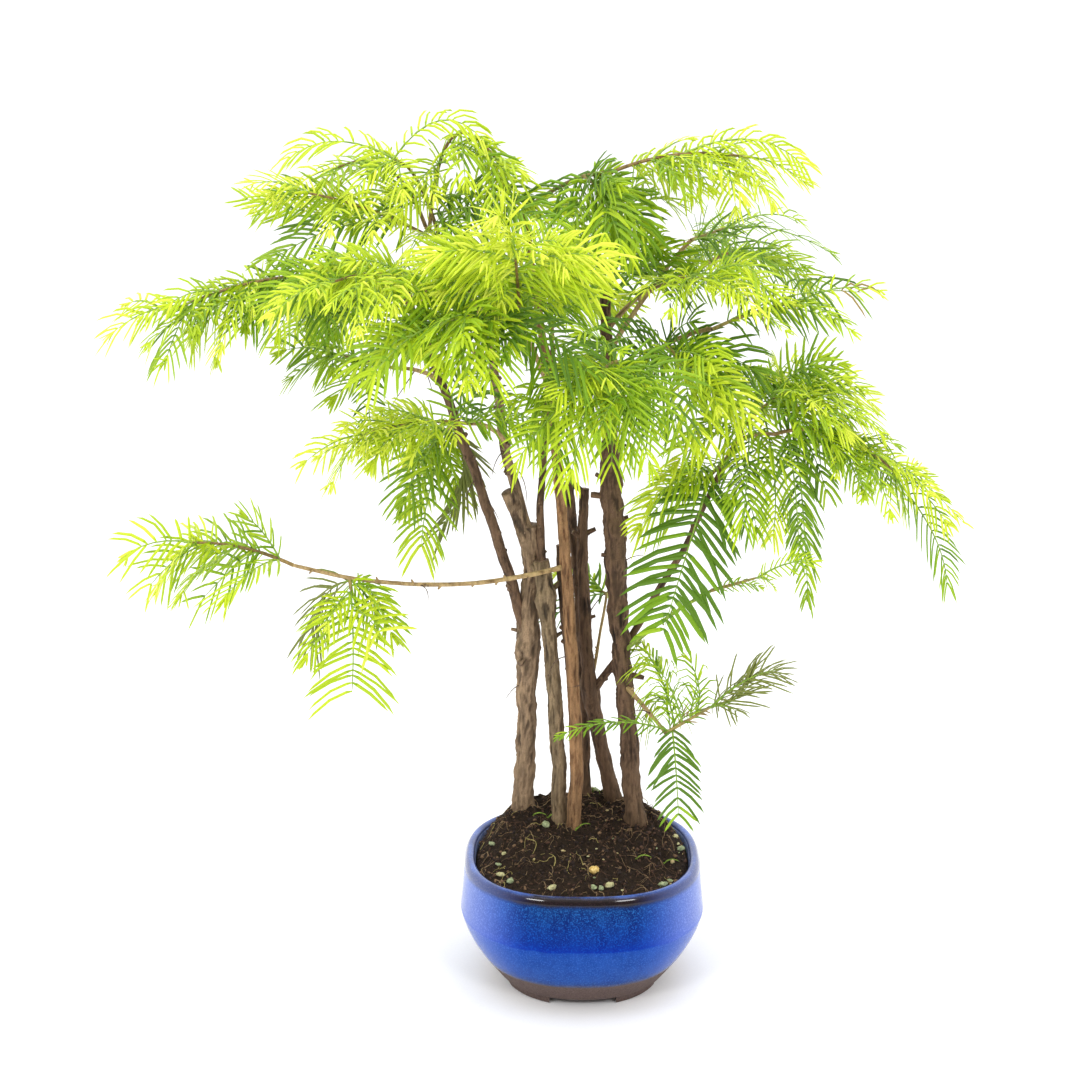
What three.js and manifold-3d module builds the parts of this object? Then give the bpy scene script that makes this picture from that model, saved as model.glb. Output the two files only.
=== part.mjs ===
// A dawn redwood forest bonsai: six slender trees in one oval glazed pot, about half a metre tall.
// Millimetres, +Z up. X runs along the front of the pot and -Y is the front.
import * as THREE from "three";
import { mergeVertices } from "three/addons/utils/BufferGeometryUtils.js";
import Module from "manifold-3d";

const wasm = await Module();
wasm.setup();

// Driving dimensions of the pot
const POT_WIDTH = 140; // over the belly, along X
const POT_OVAL = 0.96; // depth of the pot over its width
const POT_HEIGHT = 77;
const WALL = 6.5; // thickness of the wall at the lip
const FLOOR = 9; // underside of the inner floor above the table
const FOOT_HEIGHT = 4;
const FOOT_RADIUS = 46;
const FOOT_INSET = 9; // radial width of a foot
const FOOT_GAP = 38; // clear width between two neighbouring feet
const SQUARE_LIP = 2.5; // 2 is a true oval, and more is squarer
const SQUARE_FOOT = 2.1;
const POT_SIDES = 24;

// Driving dimensions of the earth
const SOIL_BELOW_LIP = 6;
const SOIL_RISE = 16.5; // height of the mound over the soil at the wall
const SOIL_TILT = 0.16; // how much higher it is for each millimetre towards the back
const SOCKET_DEPTH = 3; // the trunks are let into the earth this far

// Driving dimensions of the wood and the foliage
const GAP = 0.3; // air between two neighbouring solids
const FLARE = 0.3; // how much wider a trunk is where it meets the earth
const FLARE_HEIGHT = 9;
const NEEDLE = 28; // length of the longest needles on a frond
const NEEDLE_RAKE = 50; // degrees between a needle and its rib
const RIB = 1.5; // half width of a frond's rib at its base
const BLADE = 1.2; // thickness of a frond
const TOOTH_PITCH = 15; // distance between two teeth, each of which stands for a group of needles
const STEM_SIDES = 3;
const FINEST = 0.0015; // corners of one solid lie at least this far apart
const NUDGES = [0, 0.17, -0.17]; // a frond is shifted up or down by this to keep to that

// Finishes
const finish = (color, roughness) => new THREE.MeshStandardMaterial({ color, roughness, metalness: 0 });
const GLAZE = finish("#1b3fae", 0.2);
const EARTH = finish("#2e2018", 1);
const BARK = finish("#6b5242", 0.9);
const TWIG = finish("#8a5f3c", 0.8);
const LEAF = {
  deep: finish("#3f8a1c", 0.55),
  green: finish("#66ad1f", 0.55),
  fresh: finish("#9ed42a", 0.55),
  lime: finish("#c4e83a", 0.55),
};

const UP = new THREE.Vector3(0, 0, 1);
const radians = THREE.MathUtils.degToRad;
const vector = (xyz) => new THREE.Vector3(...xyz);

// Solids are joined and cut as closed meshes with shared vertices.
function solidOf(geometry) {
  const bare = new THREE.BufferGeometry();
  bare.setAttribute("position", geometry.getAttribute("position"));
  bare.setIndex(geometry.getIndex());
  const merged = mergeVertices(bare, 1e-4);
  return new wasm.Manifold(
    new wasm.Mesh({
      numProp: 3,
      vertProperties: merged.getAttribute("position").array,
      triVerts: new Uint32Array(merged.getIndex().array),
    }),
  );
}

function meshOf(name, solid, material) {
  const cut = solid.getMesh();
  const geometry = new THREE.BufferGeometry();
  geometry.setAttribute("position", new THREE.BufferAttribute(cut.vertProperties, 3));
  geometry.setIndex(new THREE.BufferAttribute(cut.triVerts, 1));
  geometry.computeVertexNormals();
  const mesh = new THREE.Mesh(geometry, material);
  mesh.name = name;
  return mesh;
}

const largestOf = (solid) =>
  solid.decompose().reduce((best, piece) => (piece.volume() > best.volume() ? piece : best));

// The same row of draws for the same seed, on any machine
function seeded(seed) {
  let state = seed;
  return () => {
    state = (state * 1664525 + 1013904223) % 4294967296;
    return state / 4294967296;
  };
}

// 1 at the place at, and falling away on both sides of it
const bulge = (t, at, wide) => Math.exp(-(((t - at) / wide) ** 2));

// A line from start along run. Its middle stands off the straight way by bow, and each kink
// {at, wide, by} pushes it aside over a short stretch.
function bent(start, run, bow = [0, 0, 0], kinks = []) {
  const getPoint = (t) => {
    const point = start.clone().addScaledVector(vector(run), t);
    point.addScaledVector(vector(bow), 4 * t * (1 - t));
    for (const { at, wide, by } of kinks) point.addScaledVector(vector(by), bulge(t, at, wide));
    return point;
  };
  const getTangent = (t) =>
    getPoint(Math.min(1, t + 0.01)).sub(getPoint(Math.max(0, t - 0.01))).normalize();
  return { getPoint, getTangent };
}

// A round tapering piece of wood along a curve, grown by extra on every side
function wood(curve, radiusAt, sides, steps, extra = 0) {
  const tube = new THREE.CylinderGeometry(1, 1, 1, sides, steps);
  const place = tube.getAttribute("position");
  const side = new THREE.Vector3();
  for (let i = 0; i < place.count; i++) {
    const t = THREE.MathUtils.clamp(place.getY(i) + 0.5, 0, 1);
    const along = curve.getTangent(t);
    const level = Math.abs(along.z) > 0.7 ? new THREE.Vector3(0, 1, 0) : UP;
    const across = side.crossVectors(level, along).normalize();
    const other = new THREE.Vector3().crossVectors(along, across);
    const radius = radiusAt(t) + extra;
    const point = curve.getPoint(t);
    point.addScaledVector(across, place.getX(i) * radius).addScaledVector(other, -place.getZ(i) * radius);
    point.addScaledVector(along, t === 0 ? -extra : t === 1 ? extra : 0);
    place.setXYZ(i, point.x, point.y, point.z);
  }
  return solidOf(tube);
}

// How far out a squared oval lies in one direction, over a round one. It is squarer at the lip.
function squared(x, y, height) {
  const power = SQUARE_FOOT + (SQUARE_LIP - SQUARE_FOOT) * Math.min(1, height / POT_HEIGHT);
  const length = Math.hypot(x, y) || 1;
  return (Math.abs(x / length) ** power + Math.abs(y / length) ** power) ** (-1 / power);
}

// A profile of [radius, height] turned into a closed squared oval
function ovalTurned(profile) {
  const points = profile.map(([radius, height]) => new THREE.Vector2(radius, height));
  const turned = new THREE.LatheGeometry(points, POT_SIDES);
  turned.rotateX(Math.PI / 2);
  const place = turned.getAttribute("position");
  for (let i = 0; i < place.count; i++) {
    const grow = squared(place.getX(i), place.getY(i), place.getZ(i));
    place.setXY(i, place.getX(i) * grow, place.getY(i) * grow * POT_OVAL);
  }
  return turned;
}

const belly = POT_WIDTH / 2;
const lip = belly - 2.5;
const innerLip = lip - WALL;
const soilEdge = POT_HEIGHT - SOIL_BELOW_LIP;

// The pot: an oval wall and floor on four feet, which two crossing slots leave of a ring
function potSolid() {
  const wall = ovalTurned([
    [0, FOOT_HEIGHT],
    [FOOT_RADIUS + 1.5, FOOT_HEIGHT],
    [FOOT_RADIUS + 12, 19],
    [belly - 7.4, 27],
    [belly - 2.8, 36],
    [belly, 46],
    [lip, POT_HEIGHT - 4],
    [lip - 2, POT_HEIGHT],
    [innerLip + 2, POT_HEIGHT],
    [innerLip, POT_HEIGHT - 2],
    [innerLip, 44],
    [FOOT_RADIUS, FLOOR],
    [0, FLOOR],
  ]);
  const ring = ovalTurned([
    [FOOT_RADIUS - FOOT_INSET, 0],
    [FOOT_RADIUS - 1.5, 0],
    [FOOT_RADIUS, FOOT_HEIGHT + 1],
    [FOOT_RADIUS - FOOT_INSET, FOOT_HEIGHT + 1],
    [FOOT_RADIUS - FOOT_INSET, 0],
  ]);
  const slot = (x, y) => solidOf(new THREE.BoxGeometry(x, y, 2 * FOOT_HEIGHT));
  const feet = solidOf(ring).subtract(slot(POT_WIDTH, FOOT_GAP)).subtract(slot(FOOT_GAP, POT_WIDTH));
  return solidOf(wall).add(feet);
}

// Height of the earth under a point: a mound, steep at the back of the pot and gentle at the front
function soilAt(x, y) {
  const reach = innerLip - GAP;
  const out = Math.min(1, Math.hypot(x, y / POT_OVAL) / reach / squared(x, y / POT_OVAL, POT_HEIGHT));
  const steep = Math.max(2.2, 5 + 6 * (y / reach));
  return soilEdge + (SOIL_RISE + SOIL_TILT * y) * (1 - out ** steep);
}

function soilSolid(feet) {
  const reach = innerLip - GAP;
  const rings = [0.88, 0.7, 0.4, 0].map((share) => [share * reach, soilEdge]);
  const turned = ovalTurned([
    [0, FLOOR + GAP],
    [FOOT_RADIUS - 1.5, FLOOR + GAP],
    [reach - 0.6, 45],
    [reach, soilEdge],
    ...rings,
  ]);
  const place = turned.getAttribute("position");
  for (let i = 0; i < place.count; i++)
    if (place.getZ(i) > soilEdge - 0.01) place.setZ(i, soilAt(place.getX(i), place.getY(i)));
  return feet.reduce((earth, foot) => earth.subtract(foot), solidOf(turned));
}

// The six trunks. foot is where each leaves the earth, tip its upper end, bow its bend, kinks its
// short turns, thick its radius at both ends, and knots its swellings {at, wide, by}.
const TRUNKS = [
  {
    name: "trunk_left", foot: [-34, 30], tip: [-30.9, 20, 266], bow: [1, 0, 0], thick: [5.6, 5.2],
    kinks: [{ at: 0.87, wide: 0.1, by: [2.4, 0, 0] }], knots: [{ at: 0.59, wide: 0.07, by: 2 }],
  },
  {
    name: "trunk_left_inner", foot: [-12.6, 14], tip: [-23.6, 12, 248], bow: [2, 0, 0],
    thick: [4.1, 4.1], knots: [{ at: 0.86, wide: 0.06, by: 1.8 }],
  },
  {
    name: "trunk_centre", foot: [-5.2, 6], tip: [-32.8, 14, 443], bow: [8, -3, 0],
    thick: [3.8, 1.5], kinks: [{ at: 0.14, wide: 0.12, by: [1.6, 0, 0] }],
    knots: [{ at: 0.765, wide: 0.02, by: 1.2 }],
  },
  {
    name: "trunk_back_slim", foot: [3, 43], tip: [-7.9, 41, 285], bow: [2, 3, 0],
    thick: [2.8, 2.4],
  },
  {
    name: "trunk_back", foot: [19.6, 38], tip: [1.1, 32, 284], bow: [-7, -4, 0], thick: [4.3, 2.5],
    kinks: [{ at: 0.34, wide: 0.12, by: [-1.5, 0, 0] }],
    knots: [{ at: 0.36, wide: 0.07, by: 0.8 }],
  },
  {
    name: "trunk_right", foot: [31.4, 13], tip: [11.7, 26, 398], bow: [-2.9, -4, 0],
    thick: [5.2, 2.2], knots: [{ at: 0.6, wide: 0.2, by: 2 }],
  },
];
const TRUNK_SIDES = 7;
const TRUNK_STEP = 24; // length of one straight stretch of a trunk
// The sawn end of a lost fork beside the top of the left trunk
const STUB = { at: 0.9, run: [-12, -4, 36], thick: [4.6, 4] };

// The boughs. on names the limb that carries each, at is the place along it, and run, bow and
// thick are as on a trunk.
const BOUGHS = [
  {
    name: "branch_left", on: "trunk_left", at: 0.61, run: [-66, -22, 208], bow: [6, 2, -9],
    thick: [3.4, 2.1],
  },
  {
    name: "leader_left", on: "trunk_left", at: 0.97, run: [-20, 1, 104], bow: [-3, 0, -3],
    thick: [3.2, 2.2],
  },
  {
    name: "whip_left_inner", on: "trunk_left_inner", at: 0.96, run: [6, 30, 122], bow: [-3, 0, 0],
    thick: [2.4, 1.5],
  },
  {
    name: "fork_centre", on: "trunk_centre", at: 0.25, run: [-8, 13, 80], bow: [0, 2, -6],
    thick: [2.7, 2.5],
  },
  {
    name: "fork_back", on: "trunk_back", at: 0.36, run: [80, -40, 170], bow: [0, 3, -11],
    thick: [3.3, 1.9],
  },
  {
    name: "twig_back", on: "trunk_back", at: 0.38, run: [10, 34, 46], bow: [0, 0, -3],
    thick: [1.3, 1],
  },
  {
    name: "low_left", on: "trunk_centre", at: 0.45, run: [-147, -44, 15], bow: [0, 0, -11],
    thick: [1.8, 1.3],
  },
  {
    name: "low_right", on: "trunk_right", at: 0.28, run: [22, -34, -16], bow: [0, 0, 1],
    thick: [1.8, 1.4],
  },
  {
    name: "twig_right", on: "trunk_right", at: 0.34, run: [46, -49, 54], bow: [0, 0, 2],
    thick: [1.5, 1.1],
  },
  {
    name: "bough_left_top", on: "leader_left", at: 1, run: [-36, 6, 68], bow: [1, 0, 10],
    thick: [2, 1.5],
  },
  {
    name: "bough_top_right", on: "trunk_centre", at: 1, run: [46, -12, 23], bow: [0, 0, 5],
    thick: [1.4, 1.3],
  },
  {
    name: "bough_upper_right", on: "trunk_right", at: 0.89, run: [45, 8, 61], bow: [0, 0, 3],
    thick: [1.9, 1.4],
  },
  {
    name: "bough_right", on: "trunk_right", at: 0.82, run: [54, -33, 43], bow: [0, 0, 7],
    thick: [1.9, 1.4],
  },
  {
    name: "bough_front", on: "trunk_centre", at: 0.73, run: [-19, -85, 56], bow: [0, 0, 5],
    thick: [1.9, 1.4],
  },
  {
    name: "bough_front_right", on: "trunk_right", at: 0.75, run: [3, -80, 58], bow: [0, 0, 7],
    thick: [2, 1.4],
  },
  {
    name: "bough_left_low", on: "leader_left", at: 0.55, run: [-17, -48, 22], bow: [0, 0, 3],
    thick: [1.7, 1.3],
  },
  {
    name: "bough_left_hang", on: "branch_left", at: 0.62, run: [-9, 35, -2], bow: [0, 0, 4],
    thick: [1.6, 1.3],
  },
  {
    name: "bough_left_under", on: "branch_left", at: 0.78, run: [-26, 30, -1], bow: [0, 0, 2],
    thick: [1.6, 1.3],
  },
  {
    name: "bough_left_front", on: "branch_left", at: 0.92, run: [10, -56, 30], bow: [0, 0, 5],
    thick: [1.6, 1.3],
  },
  {
    name: "bough_right_far", on: "fork_back", at: 0.96, run: [20, -14, 8], bow: [0, 0, 2],
    thick: [1.5, 1.2],
  },
  {
    name: "bough_back_left", on: "leader_left", at: 0.85, run: [-42, 72, 26], bow: [0, 0, 6],
    thick: [1.8, 1.3],
  },
  {
    name: "bough_back_right", on: "trunk_right", at: 0.93, run: [52, 62, 20], bow: [0, 0, 8],
    thick: [1.8, 1.3],
  },
];
const BOUGH_SIDES = 5;
const BOUGH_STEP = 20; // length of one straight stretch of a bough

// The sprays of foliage. run and bow give the stem. side counts the fronds along it, which are frond
// long, stand off it by spread degrees and sink by fall for each millimetre of length. The last
// frond is end long and sinks by endFall. face is the way the upper sides look, in degrees from +X.
// placed fronds stand where the rule alone would not set them, and slim shortens their needles.
const FRONT = -90;
const SPRAYS = [
  {
    name: "spray_low_left_hanging", on: "low_left", at: 0.8, run: [1, -5, -7], side: 2, frond: 40,
    end: 66, spread: 75, fall: 1.1, endFall: 1.4, face: FRONT, seed: 102, leaf: "green",
  },
  {
    name: "spray_low_left", on: "low_left", at: 1, run: [-56, -5, 14], bow: [0, 0, 4], side: 5,
    frond: 40, end: 34, spread: 52, fall: 0.45, endFall: 0.1, face: FRONT, seed: 7, leaf: "fresh",
    placed: [{ at: 0.12, run: [-16, -8, 26], fall: 0 }],
  },
  {
    name: "spray_big_frond", on: "fork_back", at: 0.93, run: [-12, -14, -10], side: 2, frond: 56,
    end: 104, spread: 62, fall: 0.6, endFall: 0.6, face: FRONT, seed: 21, leaf: "deep",
  },
  {
    name: "spray_low_right", on: "low_right", at: 1, run: [27, -3, 18], side: 2, frond: 26,
    end: 42, spread: 45, fall: 0.2, endFall: 0, face: FRONT, seed: 33, leaf: "green",
    placed: [
      { at: 0.08, run: [-62, -24, 8], fall: 0.02, slim: 0.4 },
      { at: 0.14, run: [4, -14, -50], fall: 0.05 },
    ],
  },
  {
    name: "spray_twig_right", on: "twig_right", at: 1, run: [26, -9, 11], side: 2, frond: 24,
    end: 32, spread: 45, fall: 0.3, endFall: 0, face: FRONT, seed: 41, leaf: "fresh",
  },
  {
    name: "spray_inner", on: "twig_back", at: 1, run: [-6, 4, 3], side: 1, frond: 30, end: 30,
    spread: 60, fall: 0.5, endFall: 0.3, face: FRONT, seed: 52, leaf: "green",
  },
  {
    name: "spray_front_star", on: "bough_front", at: 0.8, run: [-2, -56, 48], bow: [0, 0, 5],
    side: 6, frond: 46, end: 40, spread: 62, fall: 0.15, endFall: 0, face: FRONT, seed: 19,
    leaf: "lime",
  },
  {
    name: "spray_front_right", on: "bough_front_right", at: 1, run: [-14, -28, -4], bow: [0, 0, 4],
    side: 4, frond: 56, end: 52, spread: 52, fall: 0.7, endFall: 0.7, face: FRONT, seed: 22,
    leaf: "green",
  },
  {
    name: "spray_front", on: "bough_front", at: 1, run: [-38, -26, 4], bow: [0, 0, 4], side: 6,
    frond: 52, end: 46, spread: 60, fall: 0.4, endFall: 0.3, face: FRONT, seed: 20, leaf: "green",
  },
  {
    name: "spray_left_far", on: "branch_left", at: 1, run: [-122, -13, -10], bow: [0, 0, 12],
    side: 7, frond: 46, end: 40, spread: 58, fall: 0.7, endFall: -0.1, face: FRONT, seed: 11,
    leaf: "green",
  },
  {
    name: "spray_left_front", on: "bough_left_front", at: 1, run: [-48, -40, 10], bow: [0, 0, 6],
    side: 6, frond: 48, end: 40, spread: 55, fall: 0.3, endFall: 0.1, face: FRONT, seed: 12,
    leaf: "lime",
    placed: [{ at: 0.05, run: [40, -24, 4], fall: 0.2 }],
  },
  {
    name: "spray_left_top", on: "bough_left_top", at: 1, run: [-50, 3, 30], bow: [4, 0, 17],
    side: 4, frond: 40, end: 36, spread: 55, fall: 0.3, endFall: 0, face: FRONT, seed: 13,
    leaf: "lime",
  },
  {
    name: "spray_left_upper", on: "bough_left_top", at: 0.75, run: [-72, -34, 34], bow: [0, 0, 4],
    side: 6, frond: 42, end: 32, spread: 55, fall: 0.35, endFall: 0, face: FRONT, seed: 14,
    leaf: "fresh",
  },
  {
    name: "spray_top_arch", on: "bough_left_top", at: 0.95, run: [40, -20, 36], bow: [-6, -4, 34],
    side: 6, frond: 40, end: 36, spread: 65, fall: 0.9, endFall: 0.6, face: FRONT, seed: 15,
    leaf: "green",
    placed: [{ at: 0.1, run: [72, -30, 6], fall: 0.1 }],
  },
  {
    name: "spray_top_left", on: "bough_left_top", at: 0.8, run: [-24, -20, 46], bow: [0, 0, 12],
    side: 5, frond: 36, end: 34, spread: 60, fall: 0.6, endFall: 0.5, face: FRONT, seed: 63,
    leaf: "fresh",
  },
  {
    name: "spray_left_under", on: "bough_left_under", at: 1, run: [-34, 2, 8], side: 3, frond: 38,
    end: 32, spread: 50, fall: 0.4, endFall: 0.2, face: FRONT, seed: 16, leaf: "green",
    placed: [{ at: 0.5, run: [3, -4, -46], fall: 0.05 }],
  },
  {
    name: "spray_left_low", on: "bough_left_low", at: 1, run: [-58, -14, -3], bow: [0, 0, 4],
    side: 5, frond: 42, end: 36, spread: 50, fall: 0.3, endFall: 0.1, face: FRONT, seed: 17,
    leaf: "lime",
    placed: [{ at: 0.05, run: [44, -14, 6], fall: 0.2 }],
  },
  {
    name: "spray_left_hanging", on: "bough_left_hang", at: 1, run: [-7, 10, -6], side: 2,
    frond: 46, end: 60, spread: 55, fall: 1.4, endFall: 1.2, face: FRONT, seed: 18, leaf: "deep",
  },
  {
    name: "spray_top_right", on: "bough_top_right", at: 1, run: [74, -6, 8], bow: [0, 0, 6],
    side: 6, frond: 36, end: 33, spread: 50, fall: 0.6, endFall: 0.2, face: FRONT, seed: 23,
    leaf: "fresh",
  },
  {
    name: "spray_top_right_hanging", on: "bough_top_right", at: 0.7, run: [6, -12, -3], side: 3,
    frond: 40, end: 44, spread: 60, fall: 0.8, endFall: 0.8, face: FRONT, seed: 61, leaf: "deep",
  },
  {
    name: "spray_top_back", on: "trunk_right", at: 1, run: [8, 14, 26], side: 5, frond: 44,
    end: 40, spread: 65, fall: 0.3, endFall: 0.1, face: 90, seed: 29, leaf: "green",
  },
  {
    name: "spray_right_fan", on: "bough_upper_right", at: 1, run: [22, 14, 5], side: 4, frond: 56,
    end: 50, spread: 50, fall: 0.35, endFall: 0.2, face: FRONT, seed: 24, leaf: "deep",
  },
  {
    name: "spray_right_bright", on: "bough_upper_right", at: 0.5, run: [30, -50, 16],
    bow: [0, 0, 4], side: 5, frond: 46, end: 42, spread: 55, fall: 0.25, endFall: 0.2, face: FRONT,
    seed: 25, leaf: "lime",
  },
  {
    name: "spray_right_tip", on: "bough_right", at: 1, run: [46, -6, 16], bow: [0, 0, 2], side: 4,
    frond: 40, end: 44, spread: 45, fall: 0.3, endFall: 0, face: FRONT, seed: 26, leaf: "green",
  },
  {
    name: "spray_right_inner", on: "bough_right", at: 0.5, run: [10, -40, -4], bow: [0, 0, 6],
    side: 5, frond: 46, end: 44, spread: 60, fall: 0.4, endFall: 0.4, face: FRONT, seed: 62,
    leaf: "green",
  },
  {
    name: "spray_right_far", on: "bough_right_far", at: 0.97, run: [65, -6, -20], bow: [0, 0, 11],
    side: 5, frond: 44, end: 45, spread: 50, fall: 0.6, endFall: 0, face: FRONT, seed: 28,
    leaf: "fresh",
    placed: [{ at: 0.16, run: [14, 27, -106], fall: 0 }],
  },
  {
    name: "spray_right_cluster", on: "fork_back", at: 1, run: [36, 12, 20], bow: [0, 0, 5],
    side: 6, frond: 50, end: 42, spread: 62, fall: 0.4, endFall: 0.3, face: FRONT, seed: 27,
    leaf: "fresh",
    placed: [{ at: 0.05, run: [-40, -24, -6], fall: 0.2 }],
  },
  {
    name: "spray_back_centre", on: "whip_left_inner", at: 1, run: [-4, 56, 26], bow: [0, 0, 8],
    side: 5, frond: 56, end: 50, spread: 58, fall: 0.35, endFall: 0.2, face: 90, seed: 30,
    leaf: "green",
  },
  {
    name: "spray_back_left", on: "bough_back_left", at: 1, run: [-42, 44, 2], bow: [0, 0, 8],
    side: 5, frond: 54, end: 46, spread: 58, fall: 0.4, endFall: 0.2, face: 120, seed: 31,
    leaf: "fresh",
  },
  {
    name: "spray_back_right", on: "bough_back_right", at: 1, run: [46, 40, 0], bow: [0, 0, 8],
    side: 5, frond: 54, end: 46, spread: 58, fall: 0.4, endFall: 0.2, face: 60, seed: 32,
    leaf: "fresh",
  },
];
const STEM_RADIUS = 1.1;
const FIRST_FROND = 0.12; // place of the first side frond along the stem
const LAST_FROND = 0.9;
const FROND_ARCH = 0.1; // rise of a frond's middle over its length
const SHINGLE = -30; // degrees by which side fronds turn about their ribs, to lie clear of each other
const PLAY = { spread: 16, length: 0.3, fall: 0.2, roll: 20 }; // how far each draw may stray, in all

// Where the fronds of one spray stand: side fronds left and right of the stem in turn, one at its
// end, and those that are placed by hand.
function frondsOf(spray, stem) {
  const random = seeded(spray.seed);
  const fronds = [];
  const add = (at, way, length, fall, roll, slim = 1) => {
    const start = stem.getPoint(at);
    const sunk = way.clone().setZ(way.z - fall).normalize().multiplyScalar(length);
    fronds.push({ start, run: sunk.toArray(), length, slim, roll: radians(roll) });
  };
  for (let i = 0; i < spray.side; i++) {
    const at = FIRST_FROND + ((LAST_FROND - FIRST_FROND) * i) / Math.max(1, spray.side - 1);
    const along = stem.getTangent(at);
    const level = new THREE.Vector3(along.y, -along.x, 0).normalize();
    const hand = i % 2 ? 1 : -1;
    const spread = radians(spray.spread + PLAY.spread * (random() - 0.5));
    const length = spray.frond * (1 + PLAY.length * (random() - 0.5));
    const fall = spray.fall + PLAY.fall * (random() - 0.5);
    const roll = hand * SHINGLE + PLAY.roll * (random() - 0.5);
    const way = along.clone().multiplyScalar(Math.cos(spread));
    way.addScaledVector(level, hand * Math.sin(spread));
    add(at, way, length, fall, roll);
  }
  add(0.95, stem.getTangent(1), spray.end, spray.endFall, PLAY.roll * 0.5 * (random() - 0.5));
  for (const one of spray.placed ?? []) {
    const way = vector(one.run);
    const length = way.length();
    add(one.at, way.normalize(), length, one.fall, PLAY.roll * 0.5 * (random() - 0.5), one.slim);
  }
  return fronds;
}

// One frond: a thin toothed blade bent along its rib. Its outline runs up the right teeth and down
// the left ones, once for the upper face and once for the lower, and both meet at every tip.
function frondSolid(frond, face) {
  const arch = [0, 0, FROND_ARCH * frond.length];
  const rib = bent(frond.start, frond.run, arch);
  const teeth = Math.max(3, Math.round(frond.length / TOOTH_PITCH));
  const lookUp = new THREE.Vector3(Math.cos(radians(face)), Math.sin(radians(face)), 1).normalize();
  const frameAt = (t) => {
    const along = rib.getTangent(t);
    const upper = lookUp.clone().addScaledVector(along, -lookUp.dot(along)).normalize();
    upper.applyAxisAngle(along, frond.roll);
    const across = new THREE.Vector3().crossVectors(along, upper);
    return { point: rib.getPoint(t), along, upper, across };
  };
  const outline = { left: [], right: [] };
  const rake = radians(NEEDLE_RAKE);
  for (let i = 0; i <= teeth; i++) {
    const t = (0.92 * i) / teeth;
    const { point, along, upper, across } = frameAt(t);
    const longest = NEEDLE * frond.slim * Math.min(1, frond.length / 50);
    const needle = longest * Math.sin(Math.PI * (0.2 + 0.68 * t));
    for (const [hand, side] of [[1, outline.right], [-1, outline.left]]) {
      side.push({ at: point.clone().addScaledVector(across, hand * RIB * (1 - 0.6 * t)), upper });
      if (i === teeth) continue;
      const tip = point.clone().addScaledVector(along, needle * Math.cos(rake));
      tip.addScaledVector(along, (0.2 * frond.length) / teeth);
      tip.addScaledVector(across, hand * needle * Math.sin(rake)).addScaledVector(upper, -0.14 * needle);
      side.push({ at: tip });
    }
  }
  const ring = [...outline.right, { at: rib.getPoint(1) }, ...outline.left.reverse()];
  const places = [];
  const upper = [];
  const lower = [];
  for (const { at, upper: lift } of ring) {
    upper.push(places.length / 3);
    places.push(...(lift ? at.clone().addScaledVector(lift, BLADE / 2) : at).toArray());
    lower.push(lift ? places.length / 3 : upper.at(-1));
    if (lift) places.push(...at.clone().addScaledVector(lift, -BLADE / 2).toArray());
  }
  const faces = [];
  const both = (a, b, c) => faces.push(upper[a], upper[b], upper[c], lower[a], lower[c], lower[b]);
  const last = ring.length - 1;
  for (let i = 0; i < 2 * teeth; i += 2) {
    both(i, i + 1, i + 2);
    both(last - i, last - i - 2, last - i - 1);
    both(i, i + 2, last - i);
    both(last - i, i + 2, last - i - 2);
  }
  both(2 * teeth, 2 * teeth + 1, 2 * teeth + 2);
  for (let i = 0; i <= last; i++) {
    const next = (i + 1) % ring.length;
    if (lower[i] !== upper[i]) faces.push(upper[i], lower[i], lower[next]);
    if (lower[next] !== upper[next]) faces.push(upper[i], lower[next], upper[next]);
  }
  const blade = new THREE.BufferGeometry();
  blade.setAttribute("position", new THREE.BufferAttribute(new Float32Array(places), 3));
  blade.setIndex(faces);
  return solidOf(blade);
}

// True if two solids lie closer together than the air that neighbours need
function meet(a, b) {
  const one = a.boundingBox();
  const two = b.boundingBox();
  for (let k = 0; k < 3; k++)
    if (one.min[k] - GAP > two.max[k] || two.min[k] - GAP > one.max[k]) return false;
  return a.minGap(b, GAP) < GAP;
}

// True if two corners of a solid nearly coincide, so that a frond has joined it too finely to last
function crowded(solid) {
  const at = solid.getMesh().vertProperties;
  for (let i = 0; i < at.length; i += 3)
    for (let j = i + 3; j < at.length; j += 3)
      if ([0, 1, 2].every((k) => Math.abs(at[i + k] - at[j + k]) < FINEST)) return true;
  return false;
}

const forest = new THREE.Group();
const limbs = new Map(); // name to {curve, radiusAt, solid, grown}

// One limb, cut clear of the limb that carries it
function growLimb(name, start, shape, sides, steps, carrier, radiusAt, material) {
  const curve = bent(start, shape.run, shape.bow, shape.kinks);
  let solid = wood(curve, radiusAt, sides, steps);
  if (carrier) solid = largestOf(solid.subtract(carrier.grown));
  const grown = wood(curve, radiusAt, sides, steps, GAP);
  limbs.set(name, { curve, solid, grown });
  if (material) forest.add(meshOf(name, solid, material));
}

const sockets = [];
for (const trunk of TRUNKS) {
  const [x, y] = trunk.foot;
  const start = new THREE.Vector3(x, y, soilAt(x, y) - SOCKET_DEPTH);
  const run = vector(trunk.tip).sub(start).toArray();
  const [foot, tip] = trunk.thick;
  const radiusAt = (t) => {
    const flare = FLARE * foot * Math.exp((-t * run[2]) / FLARE_HEIGHT);
    const swell = (trunk.knots ?? []).reduce((sum, { at, wide, by }) => sum + by * bulge(t, at, wide), 0);
    return foot + (tip - foot) * t ** 1.6 + flare + swell;
  };
  const material = trunk.name === "trunk_left" ? null : BARK;
  const steps = Math.round(run[2] / TRUNK_STEP);
  growLimb(trunk.name, start, { ...trunk, run }, TRUNK_SIDES, steps, null, radiusAt, material);
  sockets.push(limbs.get(trunk.name).grown);
}

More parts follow.
